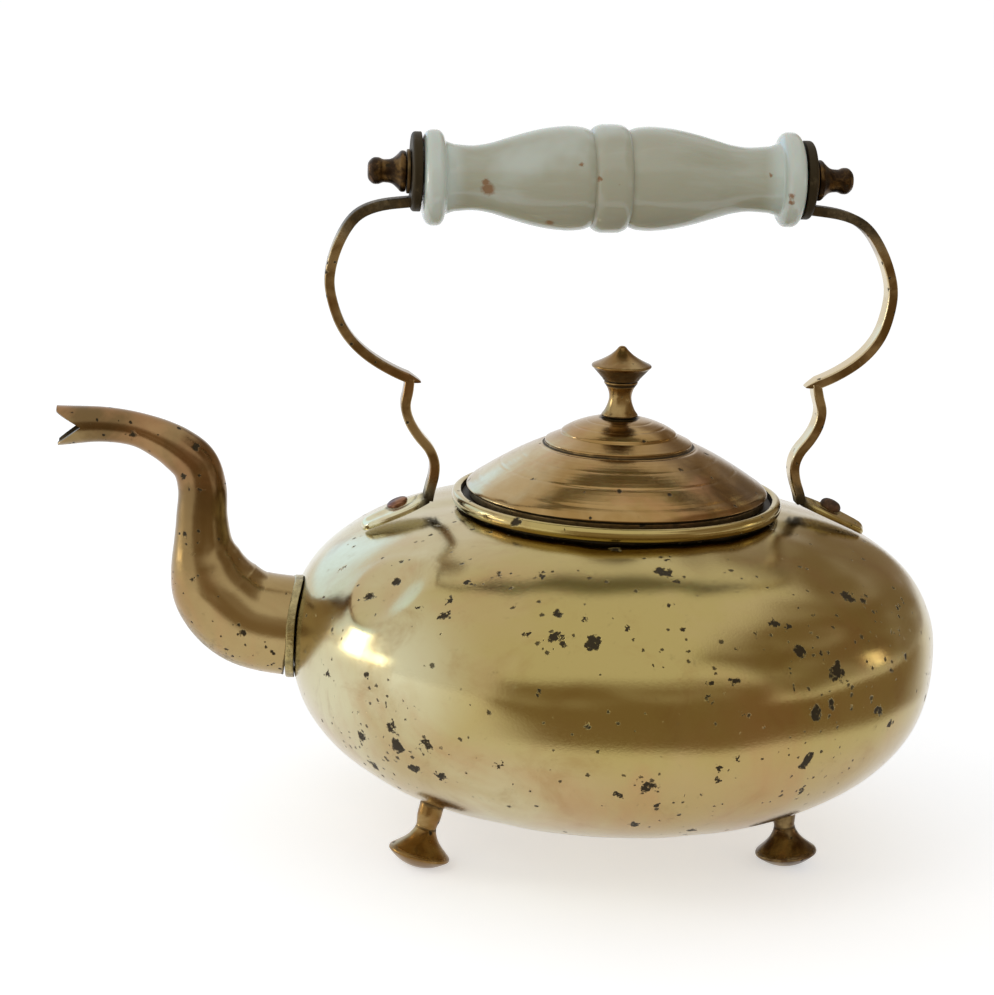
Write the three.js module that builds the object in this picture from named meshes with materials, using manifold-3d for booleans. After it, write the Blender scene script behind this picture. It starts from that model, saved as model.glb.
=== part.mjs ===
// Tripod kettle: a squat turned brass body on three baluster feet, a swan-neck
// spout with a forked mouth, a lift-off stepped lid with a saucer knob, and a
// hoop handle of two forged straps holding a baluster grip of pale glass.
// Millimetres, +Z up. The spout points to -X and the kettle is seen from -Y.
import * as THREE from 'three';
import { mergeVertices } from 'three/addons/utils/BufferGeometryUtils.js';
import Module from 'manifold-3d';

const wasm = await Module();
wasm.setup();

// Clearances
const fitGap = 0.3;
const cutOverrun = 6;

// Body: outside shape and sheet
const bodyRadius = 94.6;
const equatorHeight = 60.5;
const crownHeight = 102;
const undersideHeight = 13.7;
const undersideFlatRadius = 16.4;
const shoulderFullness = 2.5;
const bellyFullness = 2.4;
const sheetWall = 1.2;
const baseSeamRadius = 68;
const baseLapWidth = 5;

// Mouth collar
const collarRadius = 48.1;
const collarHeight = 103.5;
const collarNeckRadius = 45.2;
const collarNeckWall = 1.2;
const collarNeckDepth = 11;
const ledgeRadius = 41.5;
const ledgeDrop = 1.8;
const ledgeThickness = 1;

// Lid
const lidRadius = 43.9;
const lidRimHeight = 105.3;
const lidWall = 1.1;
const lidStepRadius = 21.4;
const lidStepHeight = 117.8;
const lidStepRise = 0.9;
const lidDomeRadius = 16.8;
const lidDomeHeight = 120.8;
const lidDomeRise = 0.5;
const lidTopHeight = 125.7;
const lidFullness = 1.25;
const bezelSeatRadius = 43;
const bezelWall = 1.1;
const bezelDepth = 9;

// Knob
const knobBaseRadius = 5.3;
const knobNeckRadius = 3.2;
const knobFlangeRadius = 4.9;
const knobStemLength = 10.2;
const knobDiscRadius = 8.75;
const knobCapHeight = 10;
const knobCapFootRadius = 5.2;
const knobRimRiseShare = 0.4;
const studRadius = 1.5;
const studReach = 6;
const studTail = 1.2;
const studNutRadius = 3.6;
const studNutHeight = 2.4;

// Spout
const spoutWall = 1.2;
const spoutRootRadius = 14.5;
const spoutReach = 161;
const spoutRootHeight = 62.2;
const spoutTipHeight = 121.2;
const spoutBoreTipRadius = 4.5;
const spoutPortRadius = 11;
const spoutFlangeRadius = 15;
const spoutFlangeThickness = 2.6;
const mouthForkDepth = 6.6;
const mouthForkLip = 0.9;
const mouthForkRise = 0.6;

// Handle straps
const strapWidth = 6.5;
const strapThickness = 2.6;
const handleTop = 186.9;
const handleBow = 81.4;
const handleBowHeight = 163.9;
const cuspReach = 56.1;
const cuspHeight = 135.3;
const cuspNotchReach = 60.6;
const cuspNotchHeight = 133.3;
const strapWaistReach = 52.8;
const strapRootReach = 55;
const handleRack = 5;
const strapTopBite = 1;
const padReach = 73.5;
const padHalfWidth = 6.2;
const padThickness = 2;
const padRidge = 0.8;
const padLift = 6.5;
const padRivetReach = 62.2;
const rivetHeadRadius = 3.2;
const rivetHeadRise = 2.1;
const rivetRadius = 1.8;
const burrRadius = 4.2;
const burrThickness = 1;
const rivetTail = 1;

// Glass grip and its rod
const gripHeight = 195.2;
const gripHalfLength = 54;
const gripFlangeWidth = 6.5;
const gripFlangeRadius = 13.4;
const gripNeckRadius = 9.1;
const gripNeckPlace = 39.4;
const gripBulgeRadius = 14.7;
const gripBulgePlace = 12.6;
const gripGrooveRadius = 13.5;
const gripBeadRadius = 15.3;
const gripBeadWidth = 10.4;
const gripBeadShift = 1;
const gripBoreRadius = 4.6;
const gripEndGap = 0.5;
const gripHang = 0.8;
const gripTilt = 0.9;
const rodRadius = 2.6;
const lugRadius = 11.2;
const lugThickness = 2.8;
const lugChamfer = 0.8;
const washerRadius = 6.2;
const washerThickness = 0.9;
const nutLength = 10.6;
const nutBaseRadius = 5.9;
const nutNeckRadius = 3.3;
const nutEndRadius = 3.75;
const nutBoreDepth = 6.5;

// Feet: one row per foot, with how far out its disc stands, its bearing and its lean
const footDiscRadius = 8.9;
const footNeckRadius = 3;
const footTopRadius = 3.5;
const footDomeDepth = 3.6;
const footWornDepth = 0.4;
const footFlareHeight = 11.8;
const footPadRadius = 5;
const footPadThickness = 0.9;
const footRows = [
  { name: 'foot_front_left', reach: 65.4, bearing: -151.3, lean: 16 },
  { name: 'foot_front_right', reach: 58.6, bearing: -31.9, lean: 7 },
  { name: 'foot_back', reach: 62, bearing: 88.4, lean: 10 },
];

// Facets round each kind of turned piece
const bodyFacets = 48;
const lidFacets = 40;
const knobFacets = 16;
const spoutFacets = 18;
const spoutSteps = 20;
const gripFacets = 24;
const footFacets = 16;
const rivetFacets = 14;
const nutFacets = 16;

const degrees = Math.PI / 180;

function material(colour, roughness, metalness) {
  return new THREE.MeshStandardMaterial({ color: colour, roughness, metalness });
}

const bodyBrass = () => material('#b59a5b', 0.32, 0.95);
const lidBrass = () => material('#b8946a', 0.34, 0.95);
const castBrass = () => material('#a8853f', 0.4, 0.95);
const strapBrass = () => material('#8f6f3c', 0.42, 0.92);
const darkBrass = () => material('#4a3826', 0.55, 0.8);
const rivetCopper = () => material('#6d4c40', 0.5, 0.85);
const opalGlass = () => material('#dfe6df', 0.18, 0);

// A closed body: shared corners merged, empty triangles dropped, faces out.
function closed(geometry) {
  const bare = geometry.clone();
  bare.deleteAttribute('normal');
  bare.deleteAttribute('uv');
  const merged = mergeVertices(bare);
  const place = merged.attributes.position;
  const corners = merged.index.array;
  const [a, b, c] = [new THREE.Vector3(), new THREE.Vector3(), new THREE.Vector3()];
  const kept = [];
  let volume = 0;
  for (let i = 0; i < corners.length; i += 3) {
    const [p, q, r] = [corners[i], corners[i + 1], corners[i + 2]];
    if (p === q || q === r || r === p) continue;
    kept.push([p, q, r]);
    a.fromBufferAttribute(place, p);
    b.fromBufferAttribute(place, q);
    c.fromBufferAttribute(place, r);
    volume += a.dot(b.cross(c));
  }
  merged.setIndex(kept.flatMap(([p, q, r]) => (volume < 0 ? [p, r, q] : [p, q, r])));
  return merged;
}

function toSolid(geometry) {
  const body = closed(geometry);
  return new wasm.Manifold(new wasm.Mesh({
    numProp: 3,
    vertProperties: Float32Array.from(body.attributes.position.array),
    triVerts: Uint32Array.from(body.index.array),
  }));
}

function toGeometry(solid) {
  const mesh = solid.getMesh();
  const geometry = new THREE.BufferGeometry();
  geometry.setAttribute('position', new THREE.BufferAttribute(mesh.vertProperties, 3));
  geometry.setIndex(new THREE.BufferAttribute(mesh.triVerts, 1));
  return geometry;
}

// Turned shape about +Z from a list of [radius, height] pairs.
function turned(profile, facets) {
  const points = profile.map(([radius, height]) => new THREE.Vector2(radius, height));
  return closed(new THREE.LatheGeometry(points, facets).rotateX(Math.PI / 2));
}

// Turned shape about an axis through a point, +Z of the profile along that axis.
function placedTurning(profile, facets, point, axis) {
  const turn = new THREE.Quaternion().setFromUnitVectors(new THREE.Vector3(0, 0, 1), axis);
  return turned(profile, facets).applyQuaternion(turn).translate(point.x, point.y, point.z);
}

function rod(radius, length) {
  return [[0, 0], [radius, 0], [radius, length], [0, length]];
}

function ring(inner, outer, low, high) {
  return [[inner, low], [outer, low], [outer, high], [inner, high], [inner, low]];
}

// A flat outline in x and z, given a width in y about the middle plane.
function slab(outline, width) {
  const shape = new THREE.Shape(outline.map(([x, z]) => new THREE.Vector2(x, z)));
  const solid = new THREE.ExtrudeGeometry(shape, { depth: width, bevelEnabled: false });
  return solid.rotateX(Math.PI / 2).translate(0, width / 2, 0);
}

function smoothPath(points, count) {
  const curve = new THREE.CatmullRomCurve3(points.map(([x, z]) => new THREE.Vector3(x, 0, z)));
  return curve.getSpacedPoints(count).map((p) => [p.x, p.z]);
}

// Body curves. The shoulder and the belly are superellipse quarters.
const bellyReach = bodyRadius - undersideFlatRadius;
const bellyDepth = equatorHeight - undersideHeight;
const shoulderRise = crownHeight - equatorHeight;

function shoulderHeight(radius) {
  const share = Math.pow(radius / bodyRadius, shoulderFullness);
  return equatorHeight + shoulderRise * Math.pow(1 - share, 1 / shoulderFullness);
}

function shoulderSlope(radius) {
  const share = radius / bodyRadius;
  const fall = Math.pow(1 - Math.pow(share, shoulderFullness), 1 / shoulderFullness - 1);
  return -shoulderRise * fall * Math.pow(share, shoulderFullness - 1) / bodyRadius;
}

function bellyHeight(radius) {
  const share = Math.max(0, radius - undersideFlatRadius) / bellyReach;
  const rise = Math.pow(1 - Math.pow(share, bellyFullness), 1 / bellyFullness);
  return equatorHeight - bellyDepth * rise;
}

function bellySlope(radius) {
  const share = (radius - undersideFlatRadius) / bellyReach;
  const fall = Math.pow(1 - Math.pow(share, bellyFullness), 1 / bellyFullness - 1);
  return bellyDepth * fall * Math.pow(share, bellyFullness - 1) / bellyReach;
}

// Points on the shoulder from the widest ring up to a radius, moved out by an offset.
function shoulderCurve(toRadius, offset, steps) {
  const reach = bodyRadius + offset;
  const end = Math.acos(Math.pow(toRadius / reach, shoulderFullness / 2));
  return Array.from({ length: steps + 1 }, (_, i) => {
    const turn = end * i / steps;
    return [
      reach * Math.pow(Math.cos(turn), 2 / shoulderFullness),
      equatorHeight + (shoulderRise + offset) * Math.pow(Math.sin(turn), 2 / shoulderFullness),
    ];
  });
}

// Points on the belly from a radius up to the widest ring, moved out by an offset.
function bellyCurve(fromRadius, offset, steps) {
  const reach = bellyReach + offset;
  const start = Math.acos(Math.pow((fromRadius - undersideFlatRadius) / reach, bellyFullness / 2));
  return Array.from({ length: steps + 1 }, (_, i) => {
    const turn = start * (1 - i / steps);
    return [
      undersideFlatRadius + reach * Math.pow(Math.cos(turn), 2 / bellyFullness),
      equatorHeight - (bellyDepth + offset) * Math.pow(Math.sin(turn), 2 / bellyFullness),
    ];
  });
}

// The whole outside of the body as one filled solid, grown by an offset.
function envelopeShape(offset) {
  const belly = bellyCurve(undersideFlatRadius, offset, 14);
  const shoulder = shoulderCurve(undersideFlatRadius, offset, 16).slice(1);
  return turned([
    [0, undersideHeight - offset], ...belly, ...shoulder, [0, crownHeight + offset],
  ], bodyFacets);
}

function bodyEnvelope(offset) {
  return toSolid(envelopeShape(offset));
}

function jacket(nearOffset, farOffset) {
  return bodyEnvelope(farOffset).subtract(bodyEnvelope(nearOffset));
}

// The strap pads are sprung: each touches the shoulder at its tip and rises towards the
// strap's root. This turn about the tip takes the shoulder's own shape up with them.
const padTipHeight = shoulderHeight(padReach);

function sprungTurn(side) {
  const tip = new THREE.Vector3(side * padReach, 0, padTipHeight);
  const turn = new THREE.Matrix4().makeRotationY(side * padLift * degrees);
  const toTip = new THREE.Matrix4().makeTranslation(-tip.x, -tip.y, -tip.z);
  return turn.multiply(toTip).premultiply(new THREE.Matrix4().makeTranslation(tip.x, tip.y, tip.z));
}

function sprungEnvelope(side, offset) {
  return toSolid(envelopeShape(offset).applyMatrix4(sprungTurn(side)));
}

function sprungRise(reach) {
  const run = Math.hypot(padReach - reach, shoulderHeight(reach) - padTipHeight);
  return run * Math.sin(padLift * degrees);
}

// Body shell: raised in one sheet, turned in at the foot to take the base plate.
const bodyMouthRadius = collarNeckRadius + fitGap;
const spoutRootPoint = new THREE.Vector3(0, 0, spoutRootHeight);
const towardSpout = new THREE.Vector3(-1, 0, 0);

function rivetSeat(side) {
  const tilt = Math.atan(shoulderSlope(padRivetReach));
  const turn = sprungTurn(side);
  return {
    point: new THREE.Vector3(side * padRivetReach, 0, shoulderHeight(padRivetReach)).applyMatrix4(turn),
    axis: new THREE.Vector3(-side * Math.sin(tilt), 0, Math.cos(tilt)).transformDirection(turn),
  };
}

function rivetBore(side, radius) {
  const seat = rivetSeat(side);
  const start = seat.point.clone().addScaledVector(seat.axis, -cutOverrun);
  return toSolid(placedTurning(rod(radius, 2 * cutOverrun), rivetFacets, start, seat.axis));
}

function bodyShell() {
  const outer = [
    ...bellyCurve(baseSeamRadius, 0, 6),
    ...shoulderCurve(bodyMouthRadius, 0, 8).slice(1),
  ];
  const inner = [
    ...bellyCurve(baseSeamRadius, -sheetWall, 6),
    ...shoulderCurve(bodyMouthRadius, -sheetWall, 8).slice(1),
  ].reverse();
  const port = placedTurning(rod(spoutPortRadius, 2 * bodyRadius), rivetFacets,
    spoutRootPoint, towardSpout);
  return toGeometry(toSolid(turned([...outer, ...inner, outer[0]], bodyFacets))
    .subtract(toSolid(port))
    .subtract(rivetBore(-1, rivetRadius + fitGap))
    .subtract(rivetBore(1, rivetRadius + fitGap)));
}

// Base plate: a dished disc whose edge laps inside the shell and is soldered there.
function basePlate() {
  const seam = baseSeamRadius - fitGap;
  const lapOffset = -(sheetWall + fitGap);
  const lap = bellyCurve(seam, lapOffset, 1)[0];
  const lapTop = bellyCurve(seam + baseLapWidth, lapOffset, 1)[0];
  const lapTopInner = bellyCurve(seam + baseLapWidth, lapOffset - sheetWall, 1)[0];
  const inner = bellyCurve(undersideFlatRadius, -sheetWall, 6)
    .filter(([radius]) => radius < seam - baseLapWidth);
  const outer = bellyCurve(undersideFlatRadius, 0, 10).filter(([radius]) => radius < seam - sheetWall);
  return turned([
    [0, undersideHeight], ...outer, [seam, bellyHeight(seam)], lap, lapTop, lapTopInner,
    ...inner.reverse(), [0, undersideHeight + sheetWall],
  ], bodyFacets);
}

// Collar ring: rolled bead round the mouth, a neck through it and a ledge for the lid.
const ledgeHeight = collarHeight - ledgeDrop;
const collarNeckInner = collarNeckRadius - collarNeckWall;

function collarRing() {
  const beadWidth = collarRadius - collarNeckRadius;
  const beadFoot = shoulderHeight(bodyMouthRadius) + fitGap;
  const beadRise = collarHeight - beadFoot;
  const beadShares = [[0.48, 0.02], [0.88, 0.24], [1, 0.5], [0.86, 0.8], [0.42, 0.98]];
  const bead = beadShares.map(([out, up]) => [
    collarNeckRadius + out * beadWidth, beadFoot + up * beadRise,
  ]);
  const neckFoot = ledgeHeight - collarNeckDepth;
  return turned([
    [collarNeckInner, neckFoot], [collarNeckRadius, neckFoot], [collarNeckRadius, beadFoot],
    ...bead, [collarNeckRadius, collarHeight - fitGap], [collarNeckRadius, ledgeHeight],
    [ledgeRadius, ledgeHeight], [ledgeRadius, ledgeHeight - ledgeThickness],
    [collarNeckInner, ledgeHeight - ledgeThickness], [collarNeckInner, neckFoot],
  ], bodyFacets);
}

// Lid dome: a stepped shell with a rolled rim, pierced for the knob's stud.
const studHoleRadius = studRadius + fitGap;

function lidSlope(radius) {
  const share = (radius - lidStepRadius) / (lidRadius - lidStepRadius);
  return lidStepHeight - (lidStepHeight - lidRimHeight) * Math.pow(share, lidFullness);
}

function lidOutside() {
  const slopeShares = [0.97, 0.78, 0.56, 0.33, 0.1];
  const slope = slopeShares.map((share) => {
    const radius = lidStepRadius + share * (lidRadius - lidStepRadius);
    return [radius, lidSlope(radius)];
  });
  const domeRise = lidTopHeight - lidDomeHeight - lidDomeRise;
  const domeShares = [[0.97, 0], [0.74, 0.56], [0.38, 0.94]];
  const dome = domeShares.map(([out, up]) => [
    out * lidDomeRadius, lidDomeHeight + lidDomeRise + up * domeRise,
  ]);
  return [
    ...slope, [lidStepRadius, lidStepHeight], [lidStepRadius, lidStepHeight + lidStepRise],
    [lidDomeRadius, lidDomeHeight], ...dome,
  ];
}

function lidDome() {
  const outside = lidOutside();
  const underside = outside.filter(([radius]) => radius < bezelSeatRadius)
    .map(([radius, height]) => [Math.max(radius - lidWall / 2, studHoleRadius), height - lidWall])
    .reverse();
  return turned([
    [lidRadius - lidWall, lidRimHeight - lidWall], [lidRadius - lidWall / 4, lidRimHeight - lidWall],
    [lidRadius, lidRimHeight - lidWall / 2], ...outside,
    [studHoleRadius, lidTopHeight], [studHoleRadius, lidTopHeight - lidWall], ...underside,
    [lidRadius - lidWall, lidRimHeight - lidWall],
  ], lidFacets);
}

// Lid bezel: carries the dome's rim on the ledge and plugs into the mouth.
const bezelPlugRadius = ledgeRadius - fitGap;

function lidBezel() {
  const top = lidRimHeight - lidWall - fitGap;
  const seat = ledgeHeight + fitGap;
  const plugInner = bezelPlugRadius - bezelWall;
  return turned([
    [plugInner, seat - bezelDepth], [bezelPlugRadius, seat - bezelDepth], [bezelPlugRadius, seat],
    [bezelSeatRadius, seat], [bezelSeatRadius, top], [plugInner, top], [plugInner, seat - bezelDepth],
  ], lidFacets);
}

// Knob: a waisted stem and a saucer cap, drawn together by a stud and a nut.
const knobFoot = lidTopHeight + fitGap;
const knobCapFoot = knobFoot + knobStemLength + fitGap;

function knobStem() {
  const shares = [[0, 0], [0.05, 0.02], [0.5, 0.22], [0.86, 0.42], [1, 0.6], [0.8, 0.78]];
  const waist = shares.map(([drawIn, up]) => [
    knobBaseRadius - drawIn * (knobBaseRadius - knobNeckRadius), up * knobStemLength,
  ]);
  return turned([
    [studHoleRadius, 0], ...waist, [knobFlangeRadius, knobStemLength - lidWall],
    [knobFlangeRadius, knobStemLength], [studHoleRadius, knobStemLength], [studHoleRadius, 0],
  ], knobFacets);
}

function knobCap() {
  const rim = knobRimRiseShare * knobCapHeight;
  const peak = knobCapHeight - rim;
  const shares = [[1, 0.03], [0.97, 0.09], [0.66, 0.32], [0.4, 0.58], [0.18, 0.88], [0.06, 0.98]];
  const saucer = shares.map(([out, up]) => [out * knobDiscRadius, rim + up * peak]);
  return turned([
    [studHoleRadius, 0], [knobCapFootRadius, 0], [knobCapFootRadius, fitGap],
    [knobDiscRadius - fitGap, rim - fitGap], ...saucer, [0, knobCapHeight],
    [0, studReach + fitGap], [studHoleRadius, studReach + fitGap], [studHoleRadius, 0],
  ], knobFacets);
}

const studFoot = lidTopHeight - lidWall - fitGap - studNutHeight - studTail;

function hexNut() {
  const shape = new THREE.Shape(Array.from({ length: 6 }, (_, i) => new THREE.Vector2(
    studNutRadius * Math.cos(i * Math.PI / 3), studNutRadius * Math.sin(i * Math.PI / 3))));
  shape.holes.push(new THREE.Path().absarc(0, 0, studHoleRadius, 0, 2 * Math.PI));
  return new THREE.ExtrudeGeometry(shape, { depth: studNutHeight, bevelEnabled: false, curveSegments: 8 });
}

// Spout: a turned taper bent along its centreline, the mouth forked like a beak.
const spoutRise = spoutTipHeight - spoutRootHeight;
const spoutStart = bodyRadius - 3 * spoutFlangeThickness;
const spoutRun = spoutReach - spoutStart;
const spoutPathShares = [
  [0, 0], [0.1, 0.003], [0.278, 0.054], [0.387, 0.184], [0.438, 0.358], [0.45, 0.54],
  [0.45, 0.7], [0.477, 0.813], [0.539, 0.887], [0.613, 0.942], [0.702, 0.985], [0.825, 1.007], [1, 1],
];
const spoutGirthShares = [
  [0, 1], [0.1, 1], [0.2, 0.97], [0.29, 0.9], [0.37, 0.72], [0.43, 0.57], [0.5, 0.502],
  [0.58, 0.476], [0.66, 0.45], [0.74, 0.385], [0.8, 0.34], [0.9, 0.35], [1, 0.395],
];

function shareAt(table, place) {
  const next = Math.max(1, table.findIndex(([at]) => at >= place));
  const [[lowAt, low], [highAt, high]] = [table[next - 1], table[next]];
  return low + (high - low) * (place - lowAt) / (highAt - lowAt);
}

// The wall is a turned taper of unit height; each ring is set on the bent centreline.
function bentTaper(outsideOf, insideOf) {
  const path = new THREE.CatmullRomCurve3(spoutPathShares.map(([out, up]) => new THREE.Vector3(
    -(spoutStart + out * spoutRun), 0, spoutRootHeight + up * spoutRise)));
  const places = Array.from({ length: spoutSteps + 1 }, (_, i) => i / spoutSteps);
  const wall = [
    ...places.map((at) => [outsideOf(at), at]),
    ...places.map((at) => [insideOf(at), at]).reverse(),
  ];
  const straight = turned([...wall, wall[0]], spoutFacets);
  const corners = straight.attributes.position;
  for (let i = 0; i < corners.count; i += 1) {
    const at = Math.min(1, Math.max(0, corners.getZ(i)));
    const middle = path.getPointAt(at);
    const along = path.getTangentAt(at);
    const across = new THREE.Vector3(-along.z, 0, along.x).multiplyScalar(corners.getX(i));
    corners.setXYZ(i, middle.x + across.x, corners.getY(i), middle.z + across.z);
  }
  return straight;
}

function spoutOutside(at) {
  return spoutRootRadius * shareAt(spoutGirthShares, at);
}

function forkWedge() {
  const tip = -spoutReach;
  const middle = spoutTipHeight - mouthForkRise;
  const half = spoutOutside(1) - mouthForkLip;
  return toSolid(slab([
    [tip + mouthForkDepth, middle], [tip, middle + half], [tip - cutOverrun, middle + half],
    [tip - cutOverrun, middle - half], [tip, middle - half],
  ], 4 * spoutOutside(1)));
}

function spoutTube() {
  const inside = (at) => Math.max(spoutBoreTipRadius, spoutOutside(at) - spoutWall);
  const thinned = (at) => Math.min(inside(at), spoutOutside(at) - spoutWall / 2);
  return toGeometry(toSolid(bentTaper(spoutOutside, thinned))
    .subtract(bodyEnvelope(spoutFlangeThickness + 2 * fitGap))
    .subtract(forkWedge()));
}

function spoutFlange() {
  const blank = toSolid(placedTurning(
    ring(spoutPortRadius, spoutFlangeRadius, 0, spoutReach), spoutFacets,
    spoutRootPoint, towardSpout));
  return toGeometry(blank.intersect(jacket(fitGap, fitGap + spoutFlangeThickness)));
}

// Handle straps. The tail-side outline is drawn on +X and mirrored for the spout side.
const padTop = fitGap + padThickness + padRidge;
const lugInnerFace = gripHalfLength + gripEndGap;
const lugFace = lugInnerFace + lugThickness;

function rackAt(height) {
  const foot = shoulderHeight(strapRootReach);
  const share = Math.max(0, height - foot) / (gripHeight - foot);
  return -handleRack * share;
}

function offsetPath(path, distance) {
  return path.map(([x, z], i) => {
    const [fromX, fromZ] = path[Math.max(0, i - 1)];
    const [toX, toZ] = path[Math.min(path.length - 1, i + 1)];
    const run = Math.hypot(toX - fromX, toZ - fromZ);
    return [x - distance * (toZ - fromZ) / run, z + distance * (toX - fromX) / run];
  });
}

// Shares of the way across and down, from one corner of a stretch to the next.
const bowTopShares = [[0.39, 0.06], [0.63, 0.165], [0.756, 0.31], [0.854, 0.487], [0.927, 0.665]];
const bowFootShares = [[0.044, 0.25], [0.119, 0.444], [0.242, 0.604], [0.437, 0.76], [0.77, 0.927]];
const ogeeShares = [
  [0.06, 0.03], [0, 0.14], [0.1, 0.285], [0.42, 0.42],
  [0.82, 0.54], [1, 0.66], [0.95, 0.79], [0.8, 0.91],
];

function between([fromX, fromZ], [toX, toZ], shares) {
  return shares.map(([across, down]) => [
    fromX + across * (toX - fromX), fromZ + down * (toZ - fromZ),
  ]);
}

function strapOutline() {
  const half = strapThickness / 2;
  const top = [lugFace, handleTop];
  const belly = [handleBow, handleBowHeight];
  const notch = [cuspNotchReach, cuspNotchHeight];
  const rootHeight = shoulderHeight(strapRootReach) + sprungRise(strapRootReach) + padThickness / 2 + fitGap;
  const bow = smoothPath([
    [lugFace - strapTopBite, handleTop], ...between(top, belly, bowTopShares), belly,
    ...between(belly, [cuspReach, cuspHeight], bowFootShares),
  ], 22);
  const ogee = smoothPath([
    ...between(notch, [strapWaistReach, rootHeight], ogeeShares), [strapRootReach, rootHeight],
  ], 15);
  return [
    ...offsetPath(bow, half), [cuspNotchReach, cuspNotchHeight], ...offsetPath(ogee, half),
    ...offsetPath(ogee, -half).reverse(), [cuspReach, cuspHeight], ...offsetPath(bow, -half).reverse(),
  ];
}

function lug(side) {
  const face = new THREE.Vector3(side * lugInnerFace - handleRack, 0, gripHeight);
  const hole = rodRadius + fitGap;
  return toSolid(placedTurning([
    [hole, 0], [lugRadius, 0], [lugRadius, lugThickness - lugChamfer],
    [lugRadius - lugChamfer, lugThickness], [hole, lugThickness], [hole, 0],
  ], gripFacets, face, new THREE.Vector3(side, 0, 0)));
}

// The pad is a leaf that is curved like the shoulder, thicker along its middle.
function leafOutline(side, halfWidth) {
  const heel = strapRootReach - strapThickness / 2;
  const run = padReach - heel;
  const widthShares = [0.5, 0.74, 0.92, 1, 0.96, 0.78, 0.5, 0.18];
  const edge = widthShares.map((wide, i) => [
    side * (heel + run * i / (widthShares.length - 1)), wide * halfWidth,
  ]);
  return [...edge, ...edge.map(([x, y]) => [x, -y]).reverse()];
}

function leaf(side, halfWidth, thickness) {
  const shape = new THREE.Shape(leafOutline(side, halfWidth).map(([x, y]) => new THREE.Vector2(x, y)));
  const column = new THREE.ExtrudeGeometry(shape, { depth: crownHeight, bevelEnabled: false });
  return toSolid(column.translate(0, 0, equatorHeight))
    .intersect(sprungEnvelope(side, fitGap + thickness))
    .subtract(sprungEnvelope(side, fitGap));
}

function handleStrap(side) {
  const outline = strapOutline().map(([x, z]) => [side * x + rackAt(z), z]);
  const strip = toSolid(slab(outline, strapWidth));
  const pad = leaf(side, padHalfWidth, padThickness)
    .add(leaf(side, padHalfWidth / 2, padThickness + padRidge));
  return toGeometry(strip.subtract(sprungEnvelope(side, fitGap)).add(pad).add(lug(side))
    .subtract(rivetBore(side, rivetRadius + fitGap)));
}

// How far the rivet's shank runs down from its seat to the burr inside the shell.
const burrTilt = burrRadius * Math.sin(padLift * degrees);
const burrDepth = sprungRise(padRivetReach) + sheetWall + 2 * fitGap + burrTilt + burrThickness;

function padRivet() {
  const headShares = [[1, 0], [0.94, 0.36], [0.72, 0.74], [0.38, 0.95], [0, 1]];
  const head = headShares.map(([out, up]) => [
    out * rivetHeadRadius, padTop + fitGap + up * rivetHeadRise,
  ]);
  const foot = -(burrDepth + rivetTail);
  return turned([[0, foot], [rivetRadius, foot], [rivetRadius, padTop + fitGap], ...head], rivetFacets);
}

// Glass grip: one pressed baluster with a wide bore, so that it hangs a little askew on
// the rod. Its bead stands off the middle.
const gripBeadShares = [[0, -1], [1, -0.6], [1, 0.6], [0, 1]];
const gripRiseShares = [[0.7, 0.3], [1, 1]];
const gripFallShares = [[0.1, 0.24], [0.42, 0.5], [0.8, 0.76], [1, 1]];

function gripHalf(sign) {
  const groove = [gripGrooveRadius, sign * gripBeadWidth / 2 - gripBeadShift];
  const bulge = [gripBulgeRadius, sign * gripBulgePlace - gripBeadShift];
  const neck = [gripNeckRadius, sign * gripNeckPlace - gripBeadShift / 2];
  const shoulder = gripHalfLength - gripFlangeWidth;
  const round = gripFlangeWidth / 4;
  return [
    ...between(groove, bulge, gripRiseShares), ...between(bulge, neck, gripFallShares),
    [gripNeckRadius + round / 4, sign * (shoulder - round / 2)],
    [gripFlangeRadius - round, sign * shoulder],
    [gripFlangeRadius, sign * (shoulder + round)],
    [gripFlangeRadius, sign * (gripHalfLength - round)],
    [gripFlangeRadius - round, sign * gripHalfLength],
    [gripBoreRadius, sign * gripHalfLength],
  ];
}

function gripProfile() {
  const bead = gripBeadShares.map(([up, along]) => [
    gripGrooveRadius + up * (gripBeadRadius - gripGrooveRadius),
    along * gripBeadWidth / 2 - gripBeadShift,
  ]);
  const outline = [...gripHalf(-1).reverse(), ...bead, ...gripHalf(1)];
  return [...outline, outline[0]];
}

// Rod ends: washers and turned finial nuts outside the lugs.
const washerFace = lugFace + fitGap;
const nutFace = washerFace + washerThickness + fitGap;
const nutFlareShares = [[1, 0], [1, 0.14], [0.5, 0.24], [0, 0.42], [0, 0.58]];
const nutEndShares = [[1, 0.72], [1, 0.86], [0.7, 0.97]];

function finialNut() {
  const bore = rodRadius + fitGap;
  const flare = nutFlareShares.map(([out, along]) => [
    nutNeckRadius + out * (nutBaseRadius - nutNeckRadius), along * nutLength,
  ]);
  const end = nutEndShares.map(([out, along]) => [out * nutEndRadius, along * nutLength]);
  return turned([
    [bore, 0], ...flare, ...end, [0, nutLength], [0, nutBoreDepth], [bore, nutBoreDepth], [bore, 0],
  ], nutFacets);
}

// Feet: a turned baluster on a saucer disc, leaning out from its pad on the belly.
function footFrame(row) {
  const bearing = row.bearing * degrees;
  const outward = new THREE.Vector3(Math.cos(bearing), Math.sin(bearing), 0);
  const lean = row.lean * degrees;
  const axis = outward.clone().multiplyScalar(-Math.sin(lean)).setZ(Math.cos(lean));
  const domeRadius = (footDiscRadius ** 2 + footDomeDepth ** 2) / (2 * footDomeDepth);
  const rimLift = domeRadius - footWornDepth - (domeRadius - footDomeDepth) * Math.cos(lean);
  const rim = outward.clone().multiplyScalar(row.reach).setZ(rimLift);
  return { outward, axis, foot: rim.addScaledVector(axis, -footDomeDepth) };
}

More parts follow.
